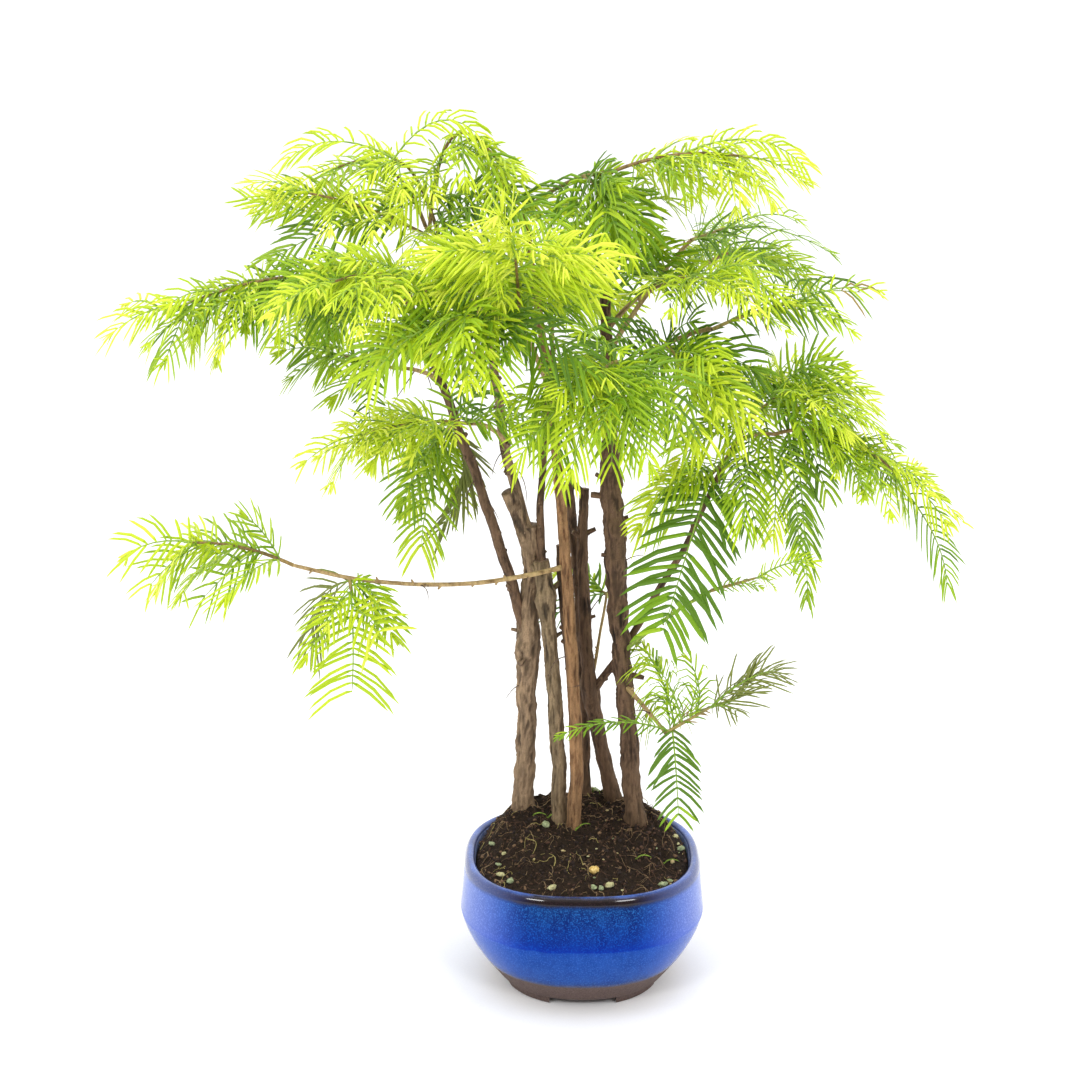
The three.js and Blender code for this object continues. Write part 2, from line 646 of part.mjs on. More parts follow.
// The left trunk keeps its sawn fork in one piece with it.
const left = limbs.get("trunk_left");
const stubCurve = bent(left.curve.getPoint(STUB.at), STUB.run);
const stubRadius = (t) => STUB.thick[0] + (STUB.thick[1] - STUB.thick[0]) * t;
left.solid = left.solid.add(wood(stubCurve, stubRadius, TRUNK_SIDES, 2));
left.grown = left.grown.add(wood(stubCurve, stubRadius, TRUNK_SIDES, 2, GAP));
forest.add(meshOf("trunk_left", left.solid, BARK));

for (const bough of BOUGHS) {
  const carrier = limbs.get(bough.on);
  const start = carrier.curve.getPoint(bough.at);
  const [foot, tip] = bough.thick;
  const radiusAt = (t) => foot + (tip - foot) * t;
  const steps = Math.max(2, Math.round(vector(bough.run).length() / BOUGH_STEP));
  growLimb(bough.name, start, bough, BOUGH_SIDES, steps, carrier, radiusAt, TWIG);
}

// The stems of all sprays, then the fronds of each, the sprays that show most first. A frond that
// would touch wood, another stem or an earlier frond is left out.
const stems = SPRAYS.map((spray) => {
  const curve = bent(limbs.get(spray.on).curve.getPoint(spray.at), spray.run, spray.bow);
  const steps = Math.max(2, Math.round(vector(spray.run).length() / BOUGH_STEP));
  const rod = wood(curve, (t) => STEM_RADIUS * (1 - 0.3 * t), STEM_SIDES, steps);
  return { curve, solid: largestOf(rod.subtract(limbs.get(spray.on).grown)) };
});
const grownSprays = stems.map((stem) => stem.solid);
SPRAYS.forEach((spray, own) => {
  const carrier = limbs.get(spray.on);
  const others = [...limbs.values()].filter((limb) => limb !== carrier).map((limb) => limb.solid);
  others.push(...grownSprays.filter((_, i) => i !== own));
  let foliage = stems[own].solid;
  for (const frond of frondsOf(spray, stems[own].curve)) {
    const blade = frondSolid(frond, spray.face);
    if (others.some((other) => meet(blade, other))) continue;
    const clear = (nudge) => blade.translate([0, 0, nudge]).subtract(carrier.grown);
    const joined = NUDGES.map((nudge) => foliage.add(clear(nudge)));
    foliage = joined.find((one) => !crowded(one)) ?? foliage;
  }
  grownSprays[own] = largestOf(foliage);
  forest.add(meshOf(spray.name, grownSprays[own], LEAF[spray.leaf]));
});

forest.add(meshOf("pot", potSolid(), GLAZE));
forest.add(meshOf("soil", soilSolid(sockets), EARTH));

// The origin is at table level, under the middle of the whole plant's box.
const box = new THREE.Box3().setFromObject(forest);
const middle = box.getCenter(new THREE.Vector3());
const bonsai = new THREE.Group();
forest.position.set(-middle.x, -middle.y, 0);
bonsai.add(forest);
export default bonsai;
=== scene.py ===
"""A dawn redwood forest bonsai: six slender trees in one oval glazed pot, about half a metre tall."""
import math
import random
import bmesh
import bpy
import numpy as np
from mathutils import Matrix, Vector, noise


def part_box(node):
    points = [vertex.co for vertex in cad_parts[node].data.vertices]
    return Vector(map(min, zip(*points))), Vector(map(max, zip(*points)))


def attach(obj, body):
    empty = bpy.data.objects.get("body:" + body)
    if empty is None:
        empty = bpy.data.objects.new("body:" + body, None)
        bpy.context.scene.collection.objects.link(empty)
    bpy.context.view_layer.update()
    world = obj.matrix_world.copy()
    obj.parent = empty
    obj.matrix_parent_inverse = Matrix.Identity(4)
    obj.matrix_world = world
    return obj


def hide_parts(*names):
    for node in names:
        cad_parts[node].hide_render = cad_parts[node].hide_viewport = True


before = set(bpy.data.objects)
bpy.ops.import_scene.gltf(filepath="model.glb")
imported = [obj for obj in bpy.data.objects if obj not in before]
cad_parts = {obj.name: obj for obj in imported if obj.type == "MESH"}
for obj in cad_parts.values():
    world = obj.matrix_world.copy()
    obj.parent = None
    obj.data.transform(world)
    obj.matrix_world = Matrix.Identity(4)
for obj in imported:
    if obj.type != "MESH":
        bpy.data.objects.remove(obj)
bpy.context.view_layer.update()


# The pot: stoneware thrown oval and glazed cobalt blue inside and out, with the lip left to break
# brown and the foot bare. Its shape is a squared oval, squarer at the lip, and stands on four feet
# that two crossing slots leave of a ring. Shapes are in millimetres about the pot's middle.
pot_low, pot_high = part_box("pot")
POT_MIDDLE = Vector(((pot_low.x + pot_high.x) / 2, (pot_low.y + pot_high.y) / 2, 0))
POT_OVAL = 0.96
POT_HEIGHT = 77
INNER_LIP = 61
FOOT_RADIUS = 46
FOOT_INSET = 9
FOOT_GAP = 38
FOOT_HEIGHT = 4
GLAZE_LINE = 18.6
FULL_TURN = 2 * math.pi
UP = Vector((0, 0, 1))


def squared(x, y, height):
    """How far the squared oval reaches in the direction of x and y, as a share of a circle."""
    power = 2.1 + 0.4 * min(1, max(0, height) / POT_HEIGHT)
    length = math.hypot(x, y)
    if length < 1e-6:
        return 1
    return (abs(x / length) ** power + abs(y / length) ** power) ** (-1 / power)


def squared_oval(bm):
    for corner in bm.verts:
        x, y, z = corner.co
        grow = squared(x, y, z)
        corner.co = (x * grow, y * grow * POT_OVAL, z)


def softened(profile, times):
    """A profile with its corners cut, which rounds them."""
    for _ in range(times):
        cut = [profile[0]]
        for (r0, z0), (r1, z1) in zip(profile, profile[1:]):
            cut.append((0.75 * r0 + 0.25 * r1, 0.75 * z0 + 0.25 * z1))
            cut.append((0.25 * r0 + 0.75 * r1, 0.25 * z0 + 0.75 * z1))
        profile = cut + [profile[-1]]
    return profile


def turn(bm, profile, steps):
    corners = [bm.verts.new((radius, 0, height)) for radius, height in profile]
    edges = [bm.edges.new(pair) for pair in zip(corners, corners[1:])]
    bmesh.ops.spin(bm, geom=corners + edges, cent=(0, 0, 0), axis=(0, 0, 1), angle=FULL_TURN,
                   steps=steps, use_merge=True)
    bmesh.ops.remove_doubles(bm, verts=bm.verts, dist=1e-4)
    bmesh.ops.recalc_face_normals(bm, faces=bm.faces)


def placed_piece(name, mesh, materials, nodes=()):
    for material in materials:
        mesh.materials.append(material)
    piece = bpy.data.objects.new(name, mesh)
    bpy.context.scene.collection.objects.link(piece)
    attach(piece, "root")
    if nodes:
        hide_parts(*nodes)


def piece_of(name, shape, materials, nodes=(), smooth=True):
    """A finished piece from a bmesh in millimetres about the pot's middle."""
    bmesh.ops.scale(shape, vec=(0.001, 0.001, 0.001), verts=shape.verts)
    bmesh.ops.translate(shape, vec=POT_MIDDLE, verts=shape.verts)
    mesh = bpy.data.meshes.new(name)
    shape.to_mesh(mesh)
    shape.free()
    for face in mesh.polygons:
        face.use_smooth = smooth
    placed_piece(name, mesh, materials, nodes)


def tone(code):
    """The linear colour of a six-digit colour code."""
    parts = [int(code[i:i + 2], 16) / 255 for i in (0, 2, 4)]
    return [c / 12.92 if c <= 0.04045 else ((c + 0.055) / 1.055) ** 2.4 for c in parts] + [1]


def bare_material(name, roughness, specular=0.5):
    material = bpy.data.materials.new(name)
    material.use_nodes = True
    shader = material.node_tree.nodes["Principled BSDF"]
    shader.inputs["Roughness"].default_value = roughness
    shader.inputs["Specular IOR Level"].default_value = specular
    return material, material.node_tree, shader


def shade(tree, kind, values=(), **settings):
    """The outputs of a new shader node, its inputs set to values or joined to other outputs."""
    node = tree.nodes.new("ShaderNode" + kind)
    for name, value in settings.items():
        setattr(node, name, value)
    for name, value in dict(values).items():
        if isinstance(value, bpy.types.NodeSocket):
            tree.links.new(value, node.inputs[name])
        else:
            node.inputs[name].default_value = value
    return node.outputs


def mixed(tree, share, first, second):
    return shade(tree, "Mix", {"Factor": share, "A": first, "B": second}, data_type="RGBA")["Result"]


def ranged(tree, value, low, high, most=1.0, way="LINEAR"):
    """A value as a share of the way from low to high, times most."""
    return shade(tree, "MapRange", {"Value": value, "From Min": low, "From Max": high, "To Max": most},
                 interpolation_type=way)["Result"]


def place(tree, axis):
    """The place on the object along an axis, in metres."""
    return shade(tree, "SeparateXYZ", {"Vector": shade(tree, "TexCoord")["Object"]})[axis]


def ramp(tree, source, stops):
    node = tree.nodes.new("ShaderNodeValToRGB")
    while len(node.color_ramp.elements) < len(stops):
        node.color_ramp.elements.new(0.5)
    for element, (at, colour) in zip(node.color_ramp.elements, stops):
        element.position = at
        element.color = colour
    tree.links.new(source, node.inputs["Fac"])
    return node.outputs["Color"]


def fine_mottle():
    """Grain for every rough or speckled surface: a soft mask, a sharp speckle mask and a height."""
    group = bpy.data.node_groups.new("fine_mottle", "ShaderNodeTree")
    for way, names in (("INPUT", ("Size", "Length", "Sharp")), ("OUTPUT", ("Mask", "Speckle", "Height"))):
        for name in names:
            group.interface.new_socket(name, in_out=way, socket_type="NodeSocketFloat")
    asked = group.nodes.new("NodeGroupInput").outputs
    given = group.nodes.new("NodeGroupOutput").inputs
    stretch = shade(group, "CombineXYZ", {"X": 1, "Y": 1, "Z": asked["Length"]})["Vector"]
    where = shade(group, "VectorMath", {0: shade(group, "TexCoord")["Object"], 1: stretch},
                  operation="MULTIPLY")["Vector"]
    finer = shade(group, "Math", {0: asked["Size"], 1: 3.5}, operation="MULTIPLY")[0]
    broad = shade(group, "TexNoise", {"Vector": where, "Scale": asked["Size"], "Detail": 4})["Fac"]
    fine = shade(group, "TexNoise", {"Vector": where, "Scale": finer, "Detail": 2})["Fac"]
    both = shade(group, "Mix", {0: asked["Sharp"], 2: broad, 3: fine})[0]
    group.links.new(ranged(group, broad, 0.34, 0.66), given["Mask"])
    group.links.new(ranged(group, fine, 0.5, 0.66), given["Speckle"])
    group.links.new(both, given["Height"])
    return group


MOTTLE = fine_mottle()


def mottle(tree, size, length=1.0):
    return shade(tree, "Group", {"Size": size, "Length": length, "Sharp": 0.5}, node_tree=MOTTLE)


def roughen(tree, shader, height, strength, distance):
    bump = shade(tree, "Bump", {"Strength": strength, "Distance": distance, "Height": height})
    tree.links.new(bump["Normal"], shader.inputs["Normal"])


def grained(name, first, second, roughness=0.8, size=900, length=1.0, bump=0.4):
    """A matt material of two tones mixed by its grain, which stands up a little where bump says."""
    material, tree, shader = bare_material(name, roughness)
    grain = mottle(tree, size, length)
    tree.links.new(mixed(tree, grain["Mask"], tone(first), tone(second)), shader.inputs["Base Color"])
    if bump:
        roughen(tree, shader, grain["Height"], bump, 0.0004)
    return material


def freckled(name, roughness, tones, freckle, sizes, bump, specular=0.5):
    """Two tones mixed by coarse grain, with freckles and bumps from a finer one."""
    material, tree, shader = bare_material(name, roughness, specular)
    grain, fine = (mottle(tree, size) for size in sizes)
    colour = mixed(tree, grain["Mask"], tone(tones[0]), tone(tones[1]))
    tree.links.new(mixed(tree, fine["Speckle"], colour, tone(freckle)), shader.inputs["Base Color"])
    roughen(tree, shader, fine["Height"], *bump)
    return material


# The glaze from foot to lip: the share of its height, its deep tone and its light one. Brown breaks
# through at the foot's edge and on the lip, and a band of painted reflection pales it round the narrow ends,
# most above the belly
GLAZE_LOW, GLAZE_HIGH = 0.017, 0.078
GLAZE = [
    (0.0, "5a4c48", "6e605a"), (0.025, "4a4a5e", "5c5f78"), (0.06, "1e3a76", "355aa0"),
    (0.12, "18408c", "2e5cae"), (0.4, "164090", "2a58b0"), (0.462, "103c92", "2454b0"),
    (0.478, "00258a", "043aa0"), (0.56, "001e70", "0a44a4"), (0.7, "001c64", "1450a6"),
    (0.88, "001e5a", "205a9e"), (0.905, "0a1c42", "1e3a6c"), (0.925, "150d10", "241a20"),
    (0.968, "180e0e", "281816"), (0.982, "23243c", "383a58"), (1.0, "3a5cb4", "5c80d0"),
]
# How strongly the painted reflection pales the glaze round the narrow ends, by the share of its height
SIDE_SHEEN = [(0.0, 0.1), (0.06, 0.5), (0.44, 0.6), (0.5, 0.9), (0.88, 1), (0.925, 0.5)]
LIP_COAT = [(0.0, 0), (0.9, 0), (0.93, 1)]


def greys(stops):
    return [(at, (grey, grey, grey, 1)) for at, grey in stops]


def cobalt_glaze():
    material, tree, shader = bare_material("cobalt_glaze", 0.14, 0.07)
    grain = mottle(tree, 370, 0.9)
    cloud = mottle(tree, 170, 0.4)
    waver = mottle(tree, 60, 0.3)["Mask"]
    run_down = shade(tree, "Math", {0: waver, 1: 0.001, 2: place(tree, "Z")}, operation="MULTIPLY_ADD")[0]
    height = ranged(tree, run_down, GLAZE_LOW, GLAZE_HIGH)
    deep = ramp(tree, height, [(at, tone(code)) for at, code, other in GLAZE])
    light = ramp(tree, height, [(at, tone(code)) for at, other, code in GLAZE])
    clouded = mixed(tree, cloud["Mask"], deep, mixed(tree, 0.35, deep, light))
    speckled = mixed(tree, grain["Speckle"], clouded, light)
    # Painted reflection: the glaze is painted paler round the two narrow ends, most on the upper wall
    aside = shade(tree, "Math", {0: place(tree, "X"), 1: POT_MIDDLE.x}, operation="SUBTRACT")[0]
    far = shade(tree, "Math", {0: aside}, operation="ABSOLUTE")[0]
    thin = ranged(tree, far, 0.024, 0.073, 0.8, "SMOOTHSTEP")
    share = shade(tree, "Math", {0: thin, 1: ramp(tree, height, greys(SIDE_SHEEN))}, operation="MULTIPLY")[0]
    # The pale tones of the painted reflection
    brightest_sheen = mixed(tree, grain["Speckle"], tone("98a6e2"), tone("bcc6f2"))
    pale = mixed(tree, thin, tone("2a6ae6"), brightest_sheen)
    tree.links.new(mixed(tree, share, speckled, pale), shader.inputs["Base Color"])
    roughen(tree, shader, cloud["Height"], 0.1, 0.0006)
    # Where the glaze has run off the lip it is thick, brown and glassy
    tree.links.new(ramp(tree, height, greys(LIP_COAT)), shader.inputs["Coat Weight"])
    shader.inputs["Coat Roughness"].default_value = 0.08
    shader.inputs["Coat IOR"].default_value = 1.34
    return material


BARE_CLAY = freckled("bare_clay", 0.78, ("43332f", "6a554d"), "54433d", (1100, 1100), (0.35, 0.0005))
INNER_GLAZE = grained("pale_inner_glaze", "7f97dc", "b4c2f0", 0.25, 700, 0.7, 0)
WALL = [  # radius and height, from the middle of the underside round the lip to the middle of the floor
    (0, 4.6), (41, 4.6), (46, 4.6), (48.2, 5.4), (51.6, 10), (58, 18.8), (61, 23.6), (64, 29), (66.6, 34.6),
    (68.6, 40.2), (69.5, 43.6), (69.9, 45), (69.9, 45.6), (69.6, 47), (69, 54), (68.2, 63), (67.7, 70),
    (67.7, 72.6), (67.3, 74.2), (66.1, 76.2), (64.9, 77), (63.4, 77), (61.9, 76.2), (61.2, 73.5), (61, 66),
    (61, 50), (58, 38), (52, 20), (46, 9), (0, 9),
]
wall = bmesh.new()
turn(wall, softened(WALL, 2), 168)
squared_oval(wall)
for face in wall.faces:
    centre = face.calc_center_median()
    if centre.z < GLAZE_LINE - 0.4 and math.hypot(centre.x, centre.y) > 20 and face.normal.z < 0.2:
        face.material_index = 1
    elif face.normal.dot(Vector((centre.x, centre.y, 0))) < 0 and centre.z < 75.4:
        face.material_index = 2
piece_of("pot_wall", wall, [cobalt_glaze(), BARE_CLAY, INNER_GLAZE], ["pot"])

feet = bmesh.new()
foot_top = FOOT_HEIGHT + 2
section = [feet.verts.new((FOOT_RADIUS + out, 0, height)) for out, height in
           ((-FOOT_INSET, 0), (-1.6, 0), (-1.0, 0.5), (1.3, foot_top), (-FOOT_INSET, foot_top))]
bmesh.ops.spin(feet, geom=[feet.faces.new(section)], cent=(0, 0, 0), axis=(0, 0, 1),
                 angle=math.pi / 2, steps=40)
squared_oval(feet)
for axis in (Vector((1, 0, 0)), Vector((0, 1, 0))):
    cut = bmesh.ops.bisect_plane(feet, geom=feet.verts[:] + feet.edges[:] + feet.faces[:],
                                 plane_co=axis * FOOT_GAP / 2, plane_no=axis, clear_inner=True)
    rim = [item for item in cut["geom_cut"] if isinstance(item, bmesh.types.BMEdge)]
    bmesh.ops.contextual_create(feet, geom=rim)
for axis in "XY":
    bmesh.ops.mirror(feet, geom=feet.verts[:] + feet.edges[:] + feet.faces[:], axis=axis, merge_dist=1e-5)
bmesh.ops.recalc_face_normals(feet, faces=feet.faces)
piece_of("pot_feet", feet, [BARE_CLAY], smooth=False)


# The earth: dark potting soil mounded over the roots, higher at the back, rough with clods, with
# light grit, fine pale roots and a little moss on it. It is pressed in by hand and stands inside
# the wall of the pot.
SOIL_EDGE = 71
SOIL_REACH = INNER_LIP - 0.3


def soil_height(x, y):
    """The source's mound."""
    out = min(1, math.hypot(x, y / POT_OVAL) / SOIL_REACH / squared(x, y / POT_OVAL, POT_HEIGHT))
    steep = max(2.2, 5 + 6 * y / SOIL_REACH)
    return SOIL_EDGE + (16.5 + 0.16 * y) * (1 - out ** steep)


def clods(x, y):
    out = math.hypot(x, y / POT_OVAL) / SOIL_REACH
    spot = Vector((x, y, 0))
    rise = 1.7 * noise.noise(spot * 0.11) + 2.2 * noise.noise(spot * 0.27 + Vector((7, 3, 1)))
    rise += 1.5 * abs(noise.noise(spot * 0.6)) + 0.8 * noise.noise(spot * 1.3)
    return rise * min(1, max(0.15, 6 * (1.02 - out)))


def on_earth(x, y, above=0.0):
    return Vector((x, y, soil_height(x, y) + clods(x, y) + above))


def anywhere(draw, least, most):
    """A random place on the earth, between two shares of its area from the middle."""
    angle, out = draw.uniform(0, FULL_TURN), math.sqrt(draw.uniform(least, most))
    grow = squared(math.cos(angle), math.sin(angle), POT_HEIGHT) * SOIL_REACH * out
    return math.cos(angle) * grow, math.sin(angle) * grow * POT_OVAL


rings = [SOIL_REACH * (1 - i / 74) for i in range(75)]
mound = bmesh.new()
underside = [(0, 9.6), (FOOT_RADIUS - 2.4, 9.6), (SOIL_REACH - 1.4, 45)]
turn(mound, underside + [(radius, SOIL_EDGE) for radius in rings], 170)
squared_oval(mound)
for corner in mound.verts:
    if corner.co.z > SOIL_EDGE - 0.01:
        corner.co = on_earth(corner.co.x, corner.co.y)
DARK_SOIL = freckled("dark_soil", 0.95, ("140e0b", "33271e"), "4e3e30", (500, 1500), (0.9, 0.0016), 0.2)
piece_of("soil_mound", mound, [DARK_SOIL], ["soil"])

draw = random.Random(11)
crumbs = bmesh.new()
for _ in range(1500):
    x, y = anywhere(draw, 0, 0.97)
    size = draw.uniform(0.35, 1.25) * (1.5 if draw.random() < 0.12 else 1)
    turned = Matrix.Rotation(draw.uniform(0, 6), 4, "Z") @ Matrix.Rotation(draw.uniform(0, 6), 4, "X")
    here = Matrix.Translation(on_earth(x, y, 0.25 * size)) @ turned
    lump = bmesh.ops.create_icosphere(crumbs, subdivisions=1, radius=size,
                                      matrix=here @ Matrix.Diagonal((1, draw.uniform(0.5, 0.9), 0.6, 1)))
    kind = draw.choice((0, 0, 0, 1, 1, 2))
    for face in {f for v in lump["verts"] for f in v.link_faces}:
        face.material_index = kind
CRUMBS = [("dark_crumb", "1a110e", "35261f", 0.95), ("bark_crumb", "3a261b", "5d4231", 0.9),
          ("fibre_crumb", "5c4632", "86694c", 0.9)]
piece_of("soil_crumbs", crumbs, [grained(*row) for row in CRUMBS], smooth=False)

# Grit between the crumbs: pumice greened by algae, and one yellow clay bead in front. Each row is
# a place, a size and a kind, and smaller grit lies scattered between
GRIT = [
    (6.1, -32.7, 2.7, 3), (-51.8, -0.2, 2.0, 0), (-17.5, -46.3, 2.4, 1), (9.8, -46.9, 2.2, 0),
    (56.4, 1.1, 2.6, 0),
    (-41, -38.1, 2.4, 0), (-20.7, 4, 2.6, 0), (3.2, -36.5, 1.3, 2), (14.5, -44.6, 2.6, 1), (5.6, -45, 2, 0),
    (-44.6, -13.5, 1.7, 1), (-47.7, -21.8, 1.6, 0), (-46.5, -29.3, 2.2, 1), (8.4, 50, 2.8, 0), (14, 44, 2, 2),
    (44.7, -38.3, 2.4, 0), (51, -17.8, 1.9, 2), (54, 10, 2.2, 1), (-11, -18, 1.2, 2), (49, -33, 1.5, 0),
]
GRIT_KINDS = [("green_pumice", "74805c", "aeb78c"), ("pale_pumice", "9c9668", "cdc898"),
              ("buff_grit", "96814f", "c8b587"), ("yellow_bead", "c89a3c", "f2da94")]
BEAD = 3
grit = bmesh.new()
for i in range(44):
    if i < len(GRIT):
        x, y, size, kind = GRIT[i]
    else:
        x, y = anywhere(draw, 0.05, 0.93)
        size, kind = draw.uniform(0.5, 1.1), draw.choice((0, 1, 2, 2))
    here = Matrix.Translation(on_earth(x, y, 0.35 * size))
    here = here @ Matrix.Rotation(draw.uniform(0, 6), 4, "Z")
    here = here @ Matrix.Rotation(draw.uniform(-0.5, 0.5), 4, "X")
    flat = (1, 0.92, 0.85, 1) if kind == BEAD else (1.15, draw.uniform(0.6, 0.85), 0.55, 1)
    stone = bmesh.ops.create_icosphere(grit, subdivisions=3, radius=size,
                                       matrix=here @ Matrix.Diagonal(flat))["verts"]
    for corner in stone:
        away = corner.co - here.translation
        corner.co += away * 0.4 * noise.noise(away * 0.9 + Vector((3 * i, 0, 0)))
    for face in {f for v in stone for f in v.link_faces}:
        face.material_index = kind
piece_of("soil_grit", grit, [grained(*row) for row in GRIT_KINDS])


def bent(start, run, bow=(0, 0, 0), kinks=()):
    """The source's line: from start along run, its middle off by bow, and pushed aside at kinks."""
    start, run, bow = Vector(start), Vector(run), Vector(bow)

    def at(t):
        point = start + run * t + bow * (4 * t * (1 - t))
        for kink in kinks:
            point += Vector(kink["by"]) * math.exp(-(((t - kink["at"]) / kink["wide"]) ** 2))
        return point

    def along(t):
        return (at(min(1, t + 0.01)) - at(max(0, t - 0.01))).normalized()

    return at, along


class Growth:
    """Points and faces of many small things that are joined into one mesh."""

    def __init__(self, twigs=None):
        self.points, self.faces, self.kinds, self.needles = [], [], [], []
        self.twigs = twigs or self

    def strand(self, at, along, radius, sides, steps, kind):
        """A thin round twig, rib or root along a line, closed to a point at its end."""
        base = len(self.points)
        for i in range(steps):
            t = i / steps
            way = along(t)
            across = way.cross(Vector((0, 1, 0)) if abs(way.z) > 0.7 else UP).normalized()
            other = way.cross(across)
            for k in range(sides):
                turned = FULL_TURN * k / sides
                out = across * math.cos(turned) + other * math.sin(turned)
                self.points.append(at(t) + out * radius(t))
        self.points.append(at(1))
        tip = len(self.points) - 1
        for i in range(steps - 1):
            for k in range(sides):
                a, b = base + i * sides + k, base + i * sides + (k + 1) % sides
                self.faces.append((a, b, b + sides, a + sides))
        for k in range(sides):
            self.faces.append((tip - sides + k, tip - sides + (k + 1) % sides, tip))
        self.faces.append(tuple(base + k for k in reversed(range(sides))))
        self.kinds += [kind] * (sides * steps + 1)

    def needle(self, base, way, upper, toward, length, width, sag, curl, kind):
        self.needles.append((*base, *way, *upper, *toward, length, width, sag, curl, kind))

    def needle_mesh(self):
        """Soft flat needles with a raised midrib, sagging and curling towards the frond's tip."""
        rows = np.array(self.needles)
        base, way, upper, toward = (rows[:, i:i + 3] for i in (0, 3, 6, 9))
        length, width, sag, curl = (rows[:, i:i + 1] for i in (12, 13, 14, 15))
        bend = toward * curl + np.array((0, 0, -1)) * sag
        rings = []
        for s, wide in ((0, 0.45), (0.13, 1), (0.5, 1), (0.84, 0.84)):
            middle = base + length * (way * s + bend * s * s)
            ahead = way + 2 * s * bend
            side = np.cross(ahead, upper)
            side /= np.linalg.norm(side, axis=1, keepdims=True) + 1e-9
            lift = np.cross(side, ahead)
            lift /= np.linalg.norm(lift, axis=1, keepdims=True) + 1e-9
            half = 0.5 * width * wide
            rings += [middle - side * half, middle + side * half, middle + lift * half * 0.6]
        points = np.stack(rings + [base + length * (way + bend)], axis=1)
        shape = [(0, 1, 2), (9, 11, 12), (11, 10, 12), (10, 9, 12)]
        for i in (0, 3, 6):
            shape += [(i, i + 2, i + 5), (i, i + 5, i + 3), (i + 2, i + 1, i + 4), (i + 2, i + 4, i + 5),
                      (i + 1, i, i + 3), (i + 1, i + 3, i + 4)]
        first = len(self.points) + 13 * np.arange(len(rows))[:, None, None]
        faces = (first + np.array(shape)).reshape(-1, 3)
        # Painted shade along the rib: the foot of each needle is a tint deeper, but not on dry and withered
        # ones
        tints, deeper = rows[:, 16:].astype(int), np.array([-1, 0, 0, 0] + [-1] * 6 + [0] * 12)
        tints = np.where(tints < 6, np.clip(tints + deeper, 0, 5), tints)
        return points.reshape(-1, 3), faces, tints.ravel()

    def piece(self, name, materials, slot, nodes=(), smooth=False):
        if self.needles:
            points, faces, kinds = (part.tolist() for part in self.needle_mesh())
        else:
            points, faces, kinds = self.points, self.faces, self.kinds
        points = np.array([tuple(p) for p in points]) * 0.001 + np.array(POT_MIDDLE)
        mesh = bpy.data.meshes.new(name)
        mesh.from_pydata(points.tolist(), [], faces)
        mesh.polygons.foreach_set("material_index", kinds)
        mesh.polygons.foreach_set("use_smooth", [smooth] * len(faces))
        placed_piece(name, mesh, materials, nodes)


# Fine roots and dry stalks that lie on the earth, and the few green blades of moss at the back
roots = Growth()
for i in range(420):
    coarse = i < 190
    x, y = anywhere(draw, 0.01, 0.93)
    heading, reach = draw.uniform(0, FULL_TURN), draw.uniform(4, 14)
    wave, turn_by = draw.uniform(0.5, 2.2), draw.uniform(-1.6, 1.6)
    lift = draw.uniform(0.4, 3.4) if draw.random() < 0.5 else 0.5
    thick = draw.uniform(0.14, 0.4) if coarse else draw.uniform(0.1, 0.22)

    def lying(t):
        u = x + reach * t * math.cos(heading + turn_by * t) + wave * math.sin(5 * t)
        v = y + reach * t * math.sin(heading + turn_by * t) + wave * math.cos(4 * t)
        share = math.hypot(u, v / POT_OVAL) / SOIL_REACH / squared(u, v / POT_OVAL, POT_HEIGHT)
        if share > 0.97:
            u, v = u * 0.97 / share, v * 0.97 / share
        return on_earth(u, v, lift * math.sin(math.pi * min(1, 0.08 + t * 0.9)) - 0.1)

    kind = draw.choice((0, 0, 1, 1, 2) if coarse else (0, 1, 1, 1))
    roots.strand(lying, lambda t: (lying(min(1, t + 0.03)) - lying(max(0, t - 0.03))).normalized(),
                 lambda t: thick * (1 - 0.6 * t), 3, 9, kind)
for i in range(70):
    x, y = draw.gauss(10, 9), draw.gauss(49, 3)
    if math.hypot(x, y / POT_OVAL) > 54:
        continue
    run = (draw.gauss(0, 2.2), draw.gauss(-0.5, 2), draw.uniform(1.2, 4.4))
    at, along = bent(on_earth(x, y, -0.3), run, (draw.gauss(0, 0.6), 0, 0.4))
    roots.strand(at, along, lambda t: 0.32 * (1 - 0.7 * t), 3, 3, draw.choice((2, 3, 3)))
for x, y, rise in ((-29, 17, 1.5), (-20, 15, 2.5), (30, -22, 2), (46, -20, 2), (-4, 2, 5)):
    at, along = bent((x, y, soil_height(x, y) + 0.4), (9, -3, rise), (0, 0, 2))
    roots.strand(at, along, lambda t: 0.6 * (1 - 0.7 * t), 3, 6, 3)
ROOTS = [("pale_root", "6e563c", "9c8360"), ("brown_root", "3d2a1d", "6b4c35"),
         ("straw", "8f8148", "b9aa6a"), ("moss_green", "56701f", "8aa63a")]
roots.piece("soil_roots", [grained(*row) for row in ROOTS], "soil")


